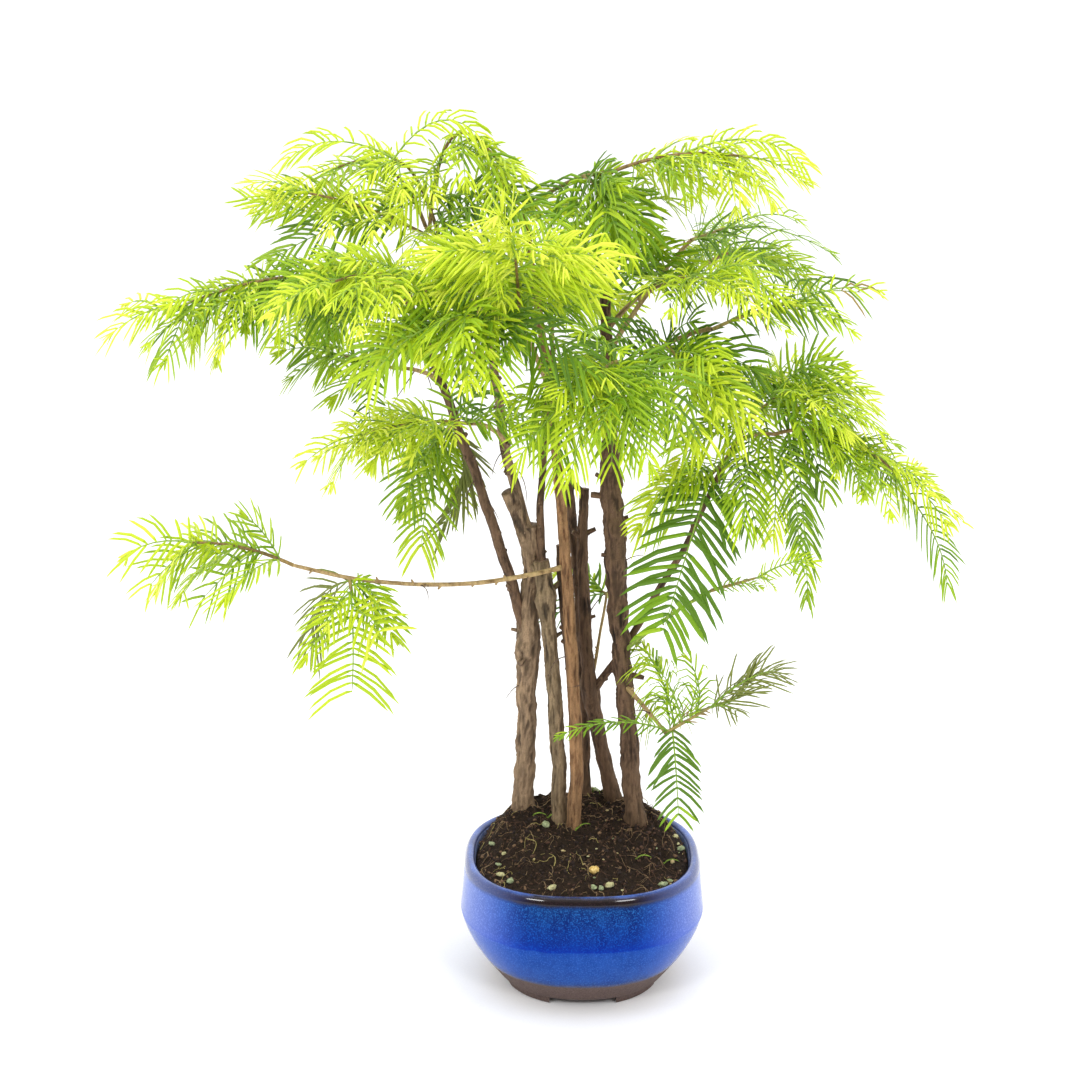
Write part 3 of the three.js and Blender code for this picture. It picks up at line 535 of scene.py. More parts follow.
# The trunks: six slender stems, each a little bent, with fissured, shaggy bark that flakes off in
# long strips. They swell at old wounds, carry short dead snags and widen where they enter the earth.
TRUNKS = [  # bark is its tones and how deep its relief is
    dict(name="trunk_left", bark=("grey_brown", 0.72), foot=[-34, 30], tip=[-30.9, 20, 266],
         bow=[1, 0, 0], thick=[5.6, 5.2],
         kinks=[dict(at=0.87, wide=0.1, by=[2.4, 0, 0])], knots=[dict(at=0.59, wide=0.07, by=2)]),
    dict(name="trunk_left_inner", bark=("olive_brown", 0.5), foot=[-12.6, 14], tip=[-23.6, 12, 248],
         bow=[2, 0, 0], thick=[4.1, 4.1], knots=[dict(at=0.86, wide=0.06, by=1.8)]),
    dict(name="trunk_centre", bark=("red_brown", 0.3), foot=[-5.2, 6], tip=[-32.8, 14, 443],
         bow=[8, -3, 0], thick=[3.8, 1.5],
         kinks=[dict(at=0.14, wide=0.12, by=[1.6, 0, 0])], knots=[dict(at=0.765, wide=0.02, by=1.2)]),
    dict(name="trunk_back_slim", bark=("dark_brown", 0.4), foot=[3, 43], tip=[-7.9, 41, 285],
         bow=[2, 3, 0], thick=[2.8, 2.4]),
    dict(name="trunk_back", bark=("dark_brown", 0.5), foot=[19.6, 38], tip=[1.1, 32, 284],
         bow=[-7, -4, 0], thick=[4.3, 2.5],
         kinks=[dict(at=0.34, wide=0.12, by=[-1.5, 0, 0])], knots=[dict(at=0.36, wide=0.07, by=0.8)]),
    dict(name="trunk_right", bark=("dark_brown", 0.75), foot=[31.4, 13], tip=[11.7, 26, 398],
         bow=[-2.9, -4, 0], thick=[5.2, 2.2],
         knots=[dict(at=0.6, wide=0.2, by=2)]),
]
# Snags and cut stubs: the place on the trunk, the way they point in degrees from the right seen
# from above, their rise, length and radius at both ends
SNAGS = {
    "trunk_left": [(0.9, 200, 70, 38, 4.6, 4.2), (0.63, 185, 20, 6, 1.6, 0.9), (0.56, 240, -20, 5, 2.8, 1.8),
                   (0.86, 20, 50, 9, 2.2, 1.6)],
    "trunk_left_inner": [(0.86, 20, 45, 9, 2.2, 1.4), (0.7, 10, 35, 7, 1.8, 1.0),
                         (0.93, 170, 50, 8, 2.0, 1.4)],
    "trunk_centre": [(0.765, 170, 30, 4, 1.6, 1.0), (0.3, 20, 40, 3, 1.2, 0.8)],
    "trunk_back_slim": [(0.6, 190, 30, 5, 1.6, 1.1), (0.78, 10, 30, 6, 1.7, 1.2), (0.7, 200, 20, 4, 1.2, 0.8),
                        (0.97, 0, 60, 5, 1.8, 1.3)],
    "trunk_back": [(0.86, 15, 25, 6, 1.9, 1.3), (0.85, 195, 35, 6, 1.8, 1.2), (0.98, 190, 50, 7, 1.9, 1.5),
                   (0.6, 10, 20, 4, 1.2, 0.8), (0.7, 180, 10, 3, 1.2, 0.8)],
    "trunk_right": [(0.63, 185, 10, 9, 2.2, 1.6), (0.655, 190, 35, 8, 2.0, 1.3), (0.71, 10, 30, 7, 1.4, 0.8),
                    (0.585, 5, 20, 5, 1.8, 1.2), (0.3, 355, -10, 9, 1.9, 1.2), (0.52, 190, 15, 5, 1.4, 1.0)],
}
# Each bark's tones: its cracks, darkened by painted shade, its body, and its ridges, lightened by a painted
# highlight
TONES = {
    "grey_brown": ("120b07", "574231", "a68b6e"), "red_brown": ("1e0f08", "684228", "a37c56"),
    "olive_brown": ("120c07", "54432e", "978163"), "dark_brown": ("080504", "33241a", "7a5f49"),
    "young_wood": ("5a452c", "9a7c50", "c4a878"),
    "green_twig": ("5c7824", "86a038", "a8b85c"), "knobby_wood": ("4a3a20", "7c6c3c", "a3955c"),
}
LIMBS = {}


def bark(kind):
    """Bark coloured by its relief, partly painted light: painted shade in its dark cracks, plates, and a
    painted highlight on its pale ridges, with grain along the limb.
    """
    if "bark_" + kind in bpy.data.materials:
        return bpy.data.materials["bark_" + kind]
    crack_and_shade, body, ridge_and_highlight = (tone(code) for code in TONES[kind])
    material, tree, shader = bare_material("bark_" + kind, 0.85, 0.3)
    relief = shade(tree, "Attribute", attribute_name="relief")["Fac"]
    plates = ramp(tree, relief, [(0.43, crack_and_shade), (0.55, body), (0.74, ridge_and_highlight)])
    grain = mottle(tree, 480, 0.13)
    patch = mottle(tree, 90, 0.35)
    flecks = mottle(tree, 1500, 0.22)
    # Long strips along the grain: painted shade in the dark gaps between them and a painted highlight on
    # their ridges
    strips_and_shade = mixed(tree, grain["Mask"], mixed(tree, 0.66, plates, crack_and_shade), mixed(tree, 0.22, plates, ridge_and_highlight))
    rubbed = mixed(tree, flecks["Speckle"], strips_and_shade, mixed(tree, 0.5, strips_and_shade, crack_and_shade))
    flecked = mixed(tree, patch["Mask"], rubbed, mixed(tree, 0.35, rubbed, ridge_and_highlight))
    # The foot is greened by algae and rubbed pale
    low = ranged(tree, place(tree, "Z"), 0.13, 0.085, 0.55)
    green = mixed(tree, 0.5, rubbed, tone("54452c"))
    worn_foot = mixed(tree, patch["Mask"], green, mixed(tree, 0.4, flecked, tone("9c8060")))
    foot = mixed(tree, low, flecked, worn_foot)
    tree.links.new(foot, shader.inputs["Base Color"])
    roughen(tree, shader, grain["Height"], 0.7, 0.0009)
    return material


CUT_WOOD = grained("cut_wood", "4d3a2b", "8b7158", 0.8, 1200)


def wavy(x, y, z):
    return noise.noise(Vector((x, y, z)))


def limb(bm, at, along, radius, sides, rows, depth, seed, knots=(), wander=0.0):
    """Bark in relief round a line: a grid wrapped round it, closed at both ends, with its fissures."""
    relief = bm.verts.layers.float.get("relief") or bm.verts.layers.float.new("relief")
    before = set(bm.verts)
    bmesh.ops.create_grid(bm, x_segments=sides, y_segments=rows, size=0.5)
    mine = [v for v in bm.verts if v not in before]
    upright = abs(along(0.5).z) > 0.5
    lines = {}
    for corner in mine:
        around, t = (corner.co.x + 0.5) * FULL_TURN, min(1, max(0, corner.co.y + 0.5))
        if round(t, 5) not in lines:
            way = along(t)
            across = way.cross(Vector((0, 1, 0)) if abs(way.z) <= 0.7 else Vector((1, 0, 0))).normalized()
            middle = at(t)
            length = middle.z if upright else middle.x
            sway = Vector((wavy(seed, 4.1, length * 0.045), wavy(2.7, seed, length * 0.045), 0))
            lines[round(t, 5)] = (middle + sway * wander, across, way.cross(across), radius(t), length)
        middle, across, other, girth, length = lines[round(t, 5)]
        out = across * math.cos(around) + other * math.sin(around)
        rough = 1 + sum(1.8 * math.exp(-(((t - k["at"]) / k["wide"]) ** 2)) for k in knots)
        where = out * girth
        x, y, z = where
        bend = 1.6 * wavy(x * 0.15, y * 0.15, length * 0.05 + seed)
        flake = 1 - 2.5 * abs(wavy(x * 0.5 + bend, y * 0.5 + z * 0.3, length * 0.07 + seed))
        strip = 1 - 2.5 * abs(wavy(x, y + bend + z * 0.6, length * 0.2 - seed))
        lump = wavy(x * 0.16, y * 0.16, length * 0.11 + seed)
        share = 0.55 * flake + 0.35 * strip + 0.2 * wavy(x * 2.2, y * 2.2, length * 0.8)
        corner[relief] = min(1, max(0, 0.5 + 0.5 * share))
        corner.co = middle + out * (girth + depth * (share - 0.4) + 0.75 * depth * rough * lump)
    bmesh.ops.remove_doubles(bm, verts=mine, dist=1e-3)
    mine = [v for v in bm.verts if v not in before]
    for end, way in ((0, -1), (1, 1)):
        middle = at(end)
        near = [v for v in mine if (v.co - middle).length < 3 * radius(end) + 2]
        rim = [e for v in near for e in v.link_edges if e.is_boundary]
        made = bmesh.ops.contextual_create(bm, geom=list(dict.fromkeys(rim)))["faces"]
        for face in made:
            face.material_index = 1
            if face.normal.dot(along(end)) * way < 0:
                face.normal_flip()


def finish_limb(name, bm, kind):
    bmesh.ops.recalc_face_normals(bm, faces=bm.faces)
    piece_of(name + "_bark", bm, [bark(kind), CUT_WOOD], [name])


for number, trunk in enumerate(TRUNKS):
    x, y = trunk["foot"]
    start = Vector((x, y, soil_height(x, y) - 3))
    run = Vector(trunk["tip"]) - start
    at, along = bent(start, run, trunk["bow"], trunk.get("kinks", ()))
    foot, tip = trunk["thick"]
    knots = trunk.get("knots", ())

    def radius(t, foot=foot, tip=tip, rise=run.z, knots=knots):
        flare = 0.3 * foot * math.exp(-t * rise / 9)
        swell = sum(k["by"] * math.exp(-(((t - k["at"]) / k["wide"]) ** 2)) for k in knots)
        return foot + (tip - foot) * t ** 1.6 + flare + swell

    LIMBS[trunk["name"]] = (at, along, radius)
    kind, depth = trunk["bark"]
    bm = bmesh.new()
    limb(bm, at, along, radius, 40, int(run.z / 1.25), depth * 1.7, 3.1 * number, knots, 0.2 * foot)
    for share, heading, rise, length, thick, thin in SNAGS[trunk["name"]]:
        heading, rise = math.radians(heading), math.radians(rise)
        way = Vector((math.cos(heading) * math.cos(rise), math.sin(heading) * math.cos(rise),
                      math.sin(rise)))
        inside = radius(share) * 0.6
        snag_at, snag_along = bent(at(share), way * (length + inside), (0, 0, 0.04 * length))
        limb(bm, snag_at, snag_along, lambda t: thick + (thin - thick) * t ** 0.6, 14,
             max(4, int(length / 1.2)), depth * 0.9, 9.7 + share * 31)
    finish_limb(trunk["name"], bm, kind)


# The boughs: thinner, smoother limbs that grow from the trunks, reddish where young, each from a
# small collar and tapering to where its foliage starts
BOUGHS = [  # name, what it grows from and where, run, bow, thickness at foot and tip
    ("branch_left", "trunk_left", 0.61, (-66, -22, 208), (6, 2, -9), (3.4, 2.1)),
    ("leader_left", "trunk_left", 0.97, (-20, 1, 104), (-3, 0, -3), (3.2, 2.2)),
    ("whip_left_inner", "trunk_left_inner", 0.96, (6, 30, 122), (-3, 0, 0), (2.4, 1.5)),
    ("fork_centre", "trunk_centre", 0.25, (-8, 13, 80), (0, 2, -6), (2.7, 2.5)),
    ("fork_back", "trunk_back", 0.36, (80, -40, 170), (0, 3, -11), (3.3, 1.9)),
    ("twig_back", "trunk_back", 0.38, (10, 34, 46), (0, 0, -3), (1.3, 1)),
    ("low_left", "trunk_centre", 0.45, (-147, -44, 15), (0, 0, -11), (1.8, 1.3)),
    ("low_right", "trunk_right", 0.28, (22, -34, -16), (0, 0, 1), (1.8, 1.4)),
    ("twig_right", "trunk_right", 0.34, (46, -49, 54), (0, 0, 2), (1.5, 1.1)),
    ("bough_left_top", "leader_left", 1, (-36, 6, 68), (1, 0, 10), (2, 1.5)),
    ("bough_top_right", "trunk_centre", 1, (46, -12, 23), (0, 0, 5), (1.4, 1.3)),
    ("bough_upper_right", "trunk_right", 0.89, (45, 8, 61), (0, 0, 3), (1.9, 1.4)),
    ("bough_right", "trunk_right", 0.82, (54, -33, 43), (0, 0, 7), (1.9, 1.4)),
    ("bough_front", "trunk_centre", 0.73, (-19, -85, 56), (0, 0, 5), (1.9, 1.4)),
    ("bough_front_right", "trunk_right", 0.75, (3, -80, 58), (0, 0, 7), (2, 1.4)),
    ("bough_left_low", "leader_left", 0.55, (-17, -48, 22), (0, 0, 3), (1.7, 1.3)),
    ("bough_left_hang", "branch_left", 0.62, (-9, 35, -2), (0, 0, 4), (1.6, 1.3)),
    ("bough_left_under", "branch_left", 0.78, (-26, 30, -1), (0, 0, 2), (1.6, 1.3)),
    ("bough_left_front", "branch_left", 0.92, (10, -56, 30), (0, 0, 5), (1.6, 1.3)),
    ("bough_right_far", "fork_back", 0.96, (20, -14, 8), (0, 0, 2), (1.5, 1.2)),
    ("bough_back_left", "leader_left", 0.85, (-42, 72, 26), (0, 0, 6), (1.8, 1.3)),
    ("bough_back_right", "trunk_right", 0.93, (52, 62, 20), (0, 0, 8), (1.8, 1.3)),
]
BOUGH_BARK = {  # kind, depth of its relief in mm and share of the solid's thickness
    "branch_left": ("dark_brown", 0.35, 1), "leader_left": ("grey_brown", 0.35, 1),
    "fork_centre": ("dark_brown", 0.35, 1), "fork_back": ("dark_brown", 0.3, 0.72),
    "whip_left_inner": ("dark_brown", 0.25, 1), "twig_right": ("green_twig", 0.12, 0.8),
    "bough_top_right": ("knobby_wood", 0.18, 0.8),
}
for number, (name, carrier, share, run, bow, (foot, tip)) in enumerate(BOUGHS):
    at, along = bent(LIMBS[carrier][0](share), run, bow)
    reach = Vector(run).length
    kind, depth, slim = BOUGH_BARK.get(name, ("young_wood", 0.14, 0.8))

    def radius(t, foot=foot * slim, tip=tip * slim, reach=reach):
        return foot + (tip - foot) * t + 0.45 * foot * math.exp(-t * reach / 5)

    LIMBS[name] = (at, along, radius)
    bm = bmesh.new()
    limb(bm, at, along, radius, 18 if depth > 0.2 else 10, max(8, int(reach / 1.6)), depth, 5.3 * number,
         wander=0.4 * foot)
    nubs = random.Random(60 + number)
    for i in range(int(reach / 13)):
        share, heading = nubs.uniform(0.08, 0.95), nubs.uniform(0, FULL_TURN)
        way = along(share)
        across = way.cross(Vector((0.3, 0.2, 1))).normalized()
        out = (across * math.cos(heading) + way.cross(across) * math.sin(heading) + way * 0.6).normalized()
        thick = radius(share)
        stub_at, stub_along = bent(at(share), out * (thick + nubs.uniform(0.8, 2.0)))
        limb(bm, stub_at, stub_along, lambda t: thick * (0.75 - 0.35 * t), 8, 4, 0.1, 2.0 * i)
    finish_limb(name, bm, kind)


# Dead twigs: a few bare, hair-thin ones that are left hanging from the limbs, dry and grey brown.
# Each is a limb's name, the place on it, its run and its bow
DEAD_TWIGS = [
    ("bough_left_under", 0.55, (-16, -2, -24), (2, 0, 3)),
    ("bough_left_under", 0.33, (4, -4, -10), (0, 0, 2)),
    ("branch_left", 0.46, (9, -6, -12), (0, 0, 2)), ("branch_left", 0.52, (-4, -8, -11), (-3, -2, -3)),
    ("leader_left", 0.43, (10, -6, -25), (3, -2, 4)), ("leader_left", 0.5, (-8, -8, -14), (-1, -2, 3)),
    ("trunk_back", 0.6, (15, -4, 20), (0, 0, 3)), ("low_left", 0.55, (5, -5, -9), (2, 0, 2)),
    ("low_right", 0.66, (-13, -6, 2), (0, 0, 3)), ("trunk_centre", 0.3, (-14, -9, -12), (-2, 0, 5)),
    ("trunk_right", 0.5, (16, -6, 9), (0, 0, 3)), ("trunk_left", 0.45, (-13, -7, -7), (0, 0, 4)),
]
dead_twigs = Growth()
for name, share, run, bow in DEAD_TWIGS:
    at, along = bent(LIMBS[name][0](share), run, bow)
    dead_twigs.strand(at, along, lambda t: 0.42 - 0.26 * t, 5, 9, 0)
dead_twigs.piece("dead_twigs", [grained("dead_twig", "3c2c24", "75604e")], "twig", smooth=True)


# The foliage: every spray is one twig with soft flat needles in two ranks along its fronds. The
# fronds stand by the same draws as in the solid that each spray replaces, with smaller fronds
# between them. Old needles are deep green and long, young ones short, narrow and nearly yellow.

# The colours of needles, from the deepest green to yellow, then dry brown and withered olive
LEAVES = ["55791a", "709616", "8fb01a", "aac41c", "bed226", "d4e044", "98824a", "7a823e"]
BRIGHTEST, DRY = 5, 6
# Kinds of needles, from old to young, and dry ones. Pitch is their spacing along the rib and wide
# their width, in mm, long their length as a share of a full needle, taper how much they shorten
# towards the tip of a frond and sag how far they hang. Fan is how far they stand out of its plane,
# and rake and last are their angles to the rib at its foot and its tip, in degrees. Close is how
# late they close up, free how freely the fronds differ, shoots how many side fronds a long one has,
# and each frond draws its colour from tints
FULL_NEEDLE = 28
NEEDLES = {
    "deep": dict(pitch=4.1, long=1.0, wide=2.0, sag=0.16, fan=6, rake=68, close=4, free=0.5, shoots=0,
                 tints=(0, 0, 1, 1)),
    "green": dict(pitch=4.2, long=0.86, wide=1.75, sag=0.44, fan=8, rake=62, tints=(0, 1, 2, 2, 3)),
    "fresh": dict(pitch=3.9, long=0.76, wide=1.55, sag=0.44, fan=10, rake=60, tints=(1, 2, 3, 3, 4)),
    "lime": dict(pitch=3.7, long=0.72, wide=1.45, sag=0.42, fan=13, rake=58, tints=(2, 3, 4, 4, 5)),
    "sere": dict(pitch=3.4, long=0.75, wide=1.1, sag=0.3, fan=30, rake=45, shoots=0, tints=(7, 7, 6, 1)),
}
# Each row is a spray's name, the limb that carries it and the place on that limb, the run and bow
# of its stem, how many side fronds it has and how long they are, the length of the frond at its end,
# how far the side fronds spread in degrees, how far they and the end frond fall, a seed and the
# kind of its needles. The rest is special to it. Face is the way that its fronds' flat sides look,
# in degrees from the right seen from above, fill=0 leaves out the smaller fronds between, look and
# end_look are what differs from its kind on all its fronds and on the end one, and limb puts needles
# on a limb too. Placed fronds are ones of the solid, and more are further fronds on the stem: place,
# run, bow, kind and what differs from it
FRONT = -90
COLUMNS = "name on at run bow side frond end spread fall end_fall seed leaf".split()
SPRAYS = [
    ("spray_low_left_hanging", "low_left", 0.8, (1, -5, -7), (0, 0, 0), 2, 40, 66, 75, 1.1, 1.4, 102,
     "fresh",
     dict(fill=0, look=dict(tints=(2, 3), shoots=1, pitch=3.8),
          end_look=dict(run=(0, -12, -56), bow=(1, 0, 0), pitch=4.0, long=1.0, wide=1.8, sag=0.22, fan=4,
                        rake=70, close=9, last=62, taper=0.4, free=0.1, tints=(3,)),
          more=[(0.2, (-22, 2, -38), (-4, 0, 8), "sere",
                 dict(pitch=3, long=0.95, wide=1.3, tints=(7, 7, 6))),
                (0.5, (20, 4, -26), (2, 0, 8), "fresh", dict(long=0.62, sag=0.5, tints=(3, 4)))])),
    ("spray_low_left", "low_left", 1, (-56, -5, 14), (0, 0, 4), 5, 40, 34, 52, 0.45, 0.1, 7, "fresh",
     dict(fill=0, look=dict(long=0.84, pitch=3.9, wide=1.65, sag=0.3, shoots=0, tints=(2, 3, 3, 4)),
          placed=[dict(at=0.12, run=(-16, -8, 26), fall=0)],
          more=[(0.3, (-34, -5, -27), (6, 0, 9), "fresh",
                 dict(long=0.85, pitch=4.4, wide=1.6, tints=(2, 3), sag=0.3)),
                (0.72, (-37, -5, -24), (0, 0, 6), "fresh",
                 dict(long=0.8, pitch=4.6, wide=1.5, tints=(3,), sag=0.3))])),
    ("spray_big_frond", "fork_back", 0.93, (-12, -14, -10), (0, 0, 0), 2, 56, 104, 62, 0.6, 0.6, 21,
     "fresh",
     dict(end_look=dict(run=(-27, -42, -75), bow=(1, 0, 5), pitch=3.6, long=1.22, wide=2.5, sag=0.12,
                        fan=4, rake=66, close=4, last=50, taper=0.64, free=0.1, shoots=0, tints=(0,)))),
    ("spray_low_right", "low_right", 1, (27, -3, 18), (0, 0, 0), 2, 26, 42, 45, 0.2, 0, 33, "sere",
     dict(fill=0,
          placed=[dict(at=0.08, run=(-62, -24, 8), fall=0.02, slim=0.4,
                       look=dict(wide=1.3, pitch=3.2, tints=(1,))),
                  dict(at=0.14, run=(4, -14, -50), fall=0.05,
                       look=dict(pitch=3.9, long=0.68, wide=1.8, sag=0.12, fan=4, rake=58, close=6,
                                 last=52, taper=0.62, free=0.1, tints=(0,)))],
          more=[(1, (20, 0, 16), (2, 0, -4), "sere", dict(pitch=2.6, long=0.95, rake=30)),
                (0.35, (-19, 12, 31), (1, 0, 7), "sere",
                 dict(tints=(1, 7, 2), long=0.8, wide=0.9, pitch=3.6, sag=1.2, free=1)),
                (0.5, (5, -2, 26), (-1, 0, -1), "sere", dict(tints=(1, 7, 2), long=0.5, sag=0.5)),
                (0.2, (-17, 35, 33), (1, 0, 7), "sere",
                 dict(tints=(1, 7, 2), long=0.78, wide=1.2, pitch=3.6, sag=1.3, free=1)),
                (0.6, (-3, 12, 29), (4, 0, -1), "sere",
                 dict(tints=(1, 7, 2), long=0.78, wide=1.2, pitch=3.6, sag=1.2, free=1)),
                (0.1, (-10, 37, -4), (2, 0, 13), "sere",
                 dict(tints=(2, 7, 3), long=0.78, wide=1.2, pitch=3.6, sag=1.2, free=1)),
                (0.9, (42, 13, 14), (2, 0, 9), "sere",
                 dict(tints=(6, 7), long=0.7, pitch=4.4, rake=24, wide=0.8))])),
    ("spray_twig_right", "twig_right", 1, (26, -9, 11), (0, 0, 0), 2, 24, 32, 45, 0.3, 0, 41, "fresh",
     dict(fill=0, look=dict(long=0.34, pitch=2.6, wide=1.1),
          limb=dict(on="twig_right", first=0.25, long=0.16, wide=1.1, sag=0.1, pitch=2.4,
                    tints=(1, 2, 2, 3)))),
    ("spray_inner", "twig_back", 1, (-6, 4, 3), (0, 0, 0), 1, 30, 30, 60, 0.5, 0.3, 52, "green", {}),
    ("spray_front_star", "bough_front", 0.8, (-2, -56, 48), (0, 0, 5), 6, 46, 40, 62, 0.15, 0, 19,
     "lime",
     dict(look=dict(tints=(1, 2, 3, 4, 5), long=0.78),
          more=[(1, (-8, -26, 25), (0, 0, 5), "lime",
                 dict(long=0.95, fan=70, rake=75, sag=0.3, pitch=1.5, tints=(4, 5))),
                (0.9, (31, -3, 0), (0, 0, 11), "lime", dict(long=0.7, sag=0.5)),
                (0.6, (41, 8, -13), (1, 0, 7), "fresh", dict(long=0.7, sag=0.5))])),
    ("spray_front_right", "bough_front_right", 1, (-14, -28, -4), (0, 0, 4), 4, 56, 52, 52, 0.7, 0.7, 22,
     "green",
     dict(look=dict(long=0.72, wide=1.4, pitch=3.8, tints=(1, 2, 2, 3, 3)),
          more=[(0.3, (-29, -23, -55), (-7, 0, 5), "fresh",
                 dict(long=0.8, wide=1.5, sag=0.2, pitch=3.7, fan=5)),
                (0.2, (31, -4, -44), (9, 0, 12), "green",
                 dict(long=0.78, wide=1.5, sag=0.25, pitch=3.7, fan=5)),
                (0.7, (4, -18, -47), (2, 0, 5), "green", dict(long=0.72, wide=1.4, sag=0.3))])),
    ("spray_front", "bough_front", 1, (-38, -26, 4), (0, 0, 4), 6, 52, 46, 60, 0.4, 0.3, 20, "green",
     dict(more=[(0.3, (48, -17, -24), (6, 0, 5), "green", dict(long=0.9, sag=0.5)),
                (0.1, (20, -6, -43), (8, 0, 6), "fresh", dict(long=0.8, sag=0.4))])),
    ("spray_left_far", "branch_left", 1, (-122, -13, -10), (0, 0, 12), 7, 46, 40, 58, 0.7, -0.1, 11,
     "fresh",
     dict(look=dict(tints=(0, 1, 1, 2, 3, 4)))),
    ("spray_left_front", "bough_left_front", 1, (-48, -40, 10), (0, 0, 6), 6, 48, 40, 55, 0.3, 0.1, 12,
     "lime",
     dict(look=dict(tints=(1, 2, 3, 4, 5)), placed=[dict(at=0.05, run=(40, -24, 4), fall=0.2)],
          more=[(0.2, (-55, -10, -8), (0, 0, 14), "lime", dict(long=0.75)),
                (0.02, (39, -27, -1), (2, 0, 12), "lime", dict(long=0.75, sag=0.6))])),
    ("spray_left_top", "bough_left_top", 1, (-50, 3, 30), (4, 0, 17), 4, 40, 36, 55, 0.3, 0, 13, "lime",
     dict(fill=0, look=dict(pitch=4, long=0.62, shoots=1),
          more=[(0.15, (-92, -8, 4), (0, 0, -7), "green", dict(long=0.66, sag=0.2, tints=(3, 4)))])),
    ("spray_left_upper", "bough_left_top", 0.75, (-72, -34, 34), (0, 0, 4), 6, 42, 32, 55, 0.35, 0, 14,
     "lime",
     dict(fill=0, look=dict(pitch=4, long=0.62, shoots=1),
          more=[(0.05, (46, -28, 18), (0, 0, 13), "deep", dict(long=0.95, sag=0.95, wide=1.7)),
                (0.25, (-71, -17, -14), (2, 0, 9), "green", dict(long=0.9, sag=0.5)),
                (0.5, (-58, -15, 6), (0, 0, 6), "lime", dict(long=0.7))])),
    ("spray_top_arch", "bough_left_top", 0.95, (40, -20, 36), (-6, -4, 34), 6, 40, 36, 65, 0.9, 0.6, 15,
     "fresh",
     dict(fill=0, look=dict(pitch=4.2, long=0.66, shoots=1, tints=(2, 3, 3, 4)),
          placed=[dict(at=0.1, run=(72, -30, 6), fall=0.1)],
          more=[(0.25, (49, -25, -7), (-11, 0, 16), "green", dict(long=0.62, sag=0.9)),
                (0.05, (67, -55, 1), (4, 0, 8), "green", dict(long=0.85, sag=0.9))])),
    ("spray_top_left", "bough_left_top", 0.8, (-24, -20, 46), (0, 0, 12), 5, 36, 34, 60, 0.6, 0.5, 63,
     "lime",
     dict(fill=0, look=dict(pitch=4, long=0.62, shoots=1),
          more=[(1, (50, -4, 9), (1, 0, 17), "fresh", dict(long=0.5, sag=0.8)),
                (0.9, (-58, -4, 1), (-2, 0, 10), "lime", dict(long=0.6, sag=0.7))])),
    ("spray_left_under", "bough_left_under", 1, (-34, 2, 8), (0, 0, 0), 3, 38, 32, 50, 0.4, 0.2, 16,
     "green",
     dict(fill=0, look=dict(shoots=1),
          placed=[dict(at=0.5, run=(3, -4, -46), fall=0.05,
                       look=dict(long=0.44, wide=1.4, pitch=3.0, sag=0.12, fan=4, rake=68, close=5,
                                 free=0.1, shoots=0, tints=(1,)))])),
    ("spray_left_low", "bough_left_low", 1, (-58, -14, -3), (0, 0, 4), 5, 42, 36, 50, 0.3, 0.1, 17,
     "lime",
     dict(look=dict(tints=(2, 3, 4, 4, 5)), placed=[dict(at=0.05, run=(44, -14, 6), fall=0.2)],
          more=[(0.02, (38, -19, -3), (3, 0, 12), "lime", dict(long=0.8, sag=0.9)),
                (0.05, (22, 8, 12), (-4, 0, 10), "green", dict(long=0.8, sag=0.6)),
                (0.12, (6, 35, 22), (-6, 0, 3), "green", dict(long=0.75, sag=0.5))])),
    ("spray_left_hanging", "bough_left_hang", 1, (-7, 10, -6), (0, 0, 0), 2, 46, 60, 55, 1.4, 1.2, 18,
     "green",
     dict(look=dict(tints=(1, 2, 2, 3)),
          more=[(0.1, (-16, -4, -69), (-3, 0, -2), "deep",
                 dict(long=0.78, wide=1.8, sag=0.3, free=0.2, taper=0.5, tints=(2, 3))),
                (0.5, (-4, -2, -60), (15, 0, 8), "deep",
                 dict(long=0.8, wide=1.5, pitch=2.6, rake=20, tints=(2, 7))),
                (0.8, (12, 5, -48), (0, 0, 5), "green", dict(long=0.62, sag=0.3)),
                (0.1, (17, -8, 24), (-1, 0, -5), "deep", dict(long=0.8, sag=0.5))])),
    ("spray_top_right", "bough_top_right", 1, (74, -6, 8), (0, 0, 6), 6, 36, 33, 50, 0.6, 0.2, 23,
     "lime",
     dict(look=dict(pitch=3.9, shoots=1),
          limb=dict(on="bough_top_right", first=0.3, long=0.85, wide=1.9, sag=0.85, pitch=5.2,
                    tints=(0, 0, 1)),
          more=[(0.5, (64, -7, -6), (4, 0, 11), "lime", dict(long=0.55, sag=0.7))])),
    ("spray_top_right_hanging", "bough_top_right", 0.7, (6, -12, -3), (0, 0, 0), 3, 40, 44, 60, 0.8, 0.8,
     61, "green",
     dict(more=[(0.3, (-25, -6, -13), (-1, 0, 2), "green", dict(long=0.85, sag=0.9)),
                (0.8, (24, -6, -34), (4, 0, 6), "deep", dict(long=0.85, sag=0.8))])),
    ("spray_top_back", "trunk_right", 1, (8, 14, 26), (0, 0, 0), 5, 44, 40, 65, 0.3, 0.1, 29, "green",
     dict(face=90,
          more=[(0.7, (-37, -26, 20), (1, 0, 17), "green", dict(long=0.8, sag=0.8)),
                (0.9, (26, -19, 24), (1, 0, 13), "green", dict(long=0.8, sag=0.8)),
                (0.4, (-36, -42, 0), (-2, 0, 15), "green", dict(long=0.8, sag=0.5)),
                (0.2, (-14, -49, -25), (-15, 0, 4), "green", dict(long=0.8, sag=0.4))])),
    ("spray_right_fan", "bough_upper_right", 1, (22, 14, 5), (0, 0, 0), 4, 56, 50, 50, 0.35, 0.2, 24,
     "green",
     dict(fill=0, look=dict(pitch=7, long=0.66, wide=1.1, shoots=0),
          more=[(0.05, (32, -10, -35), (7, 0, 13), "deep",
                 dict(long=1.2, wide=1.3, sag=0.3, dry=True))])),
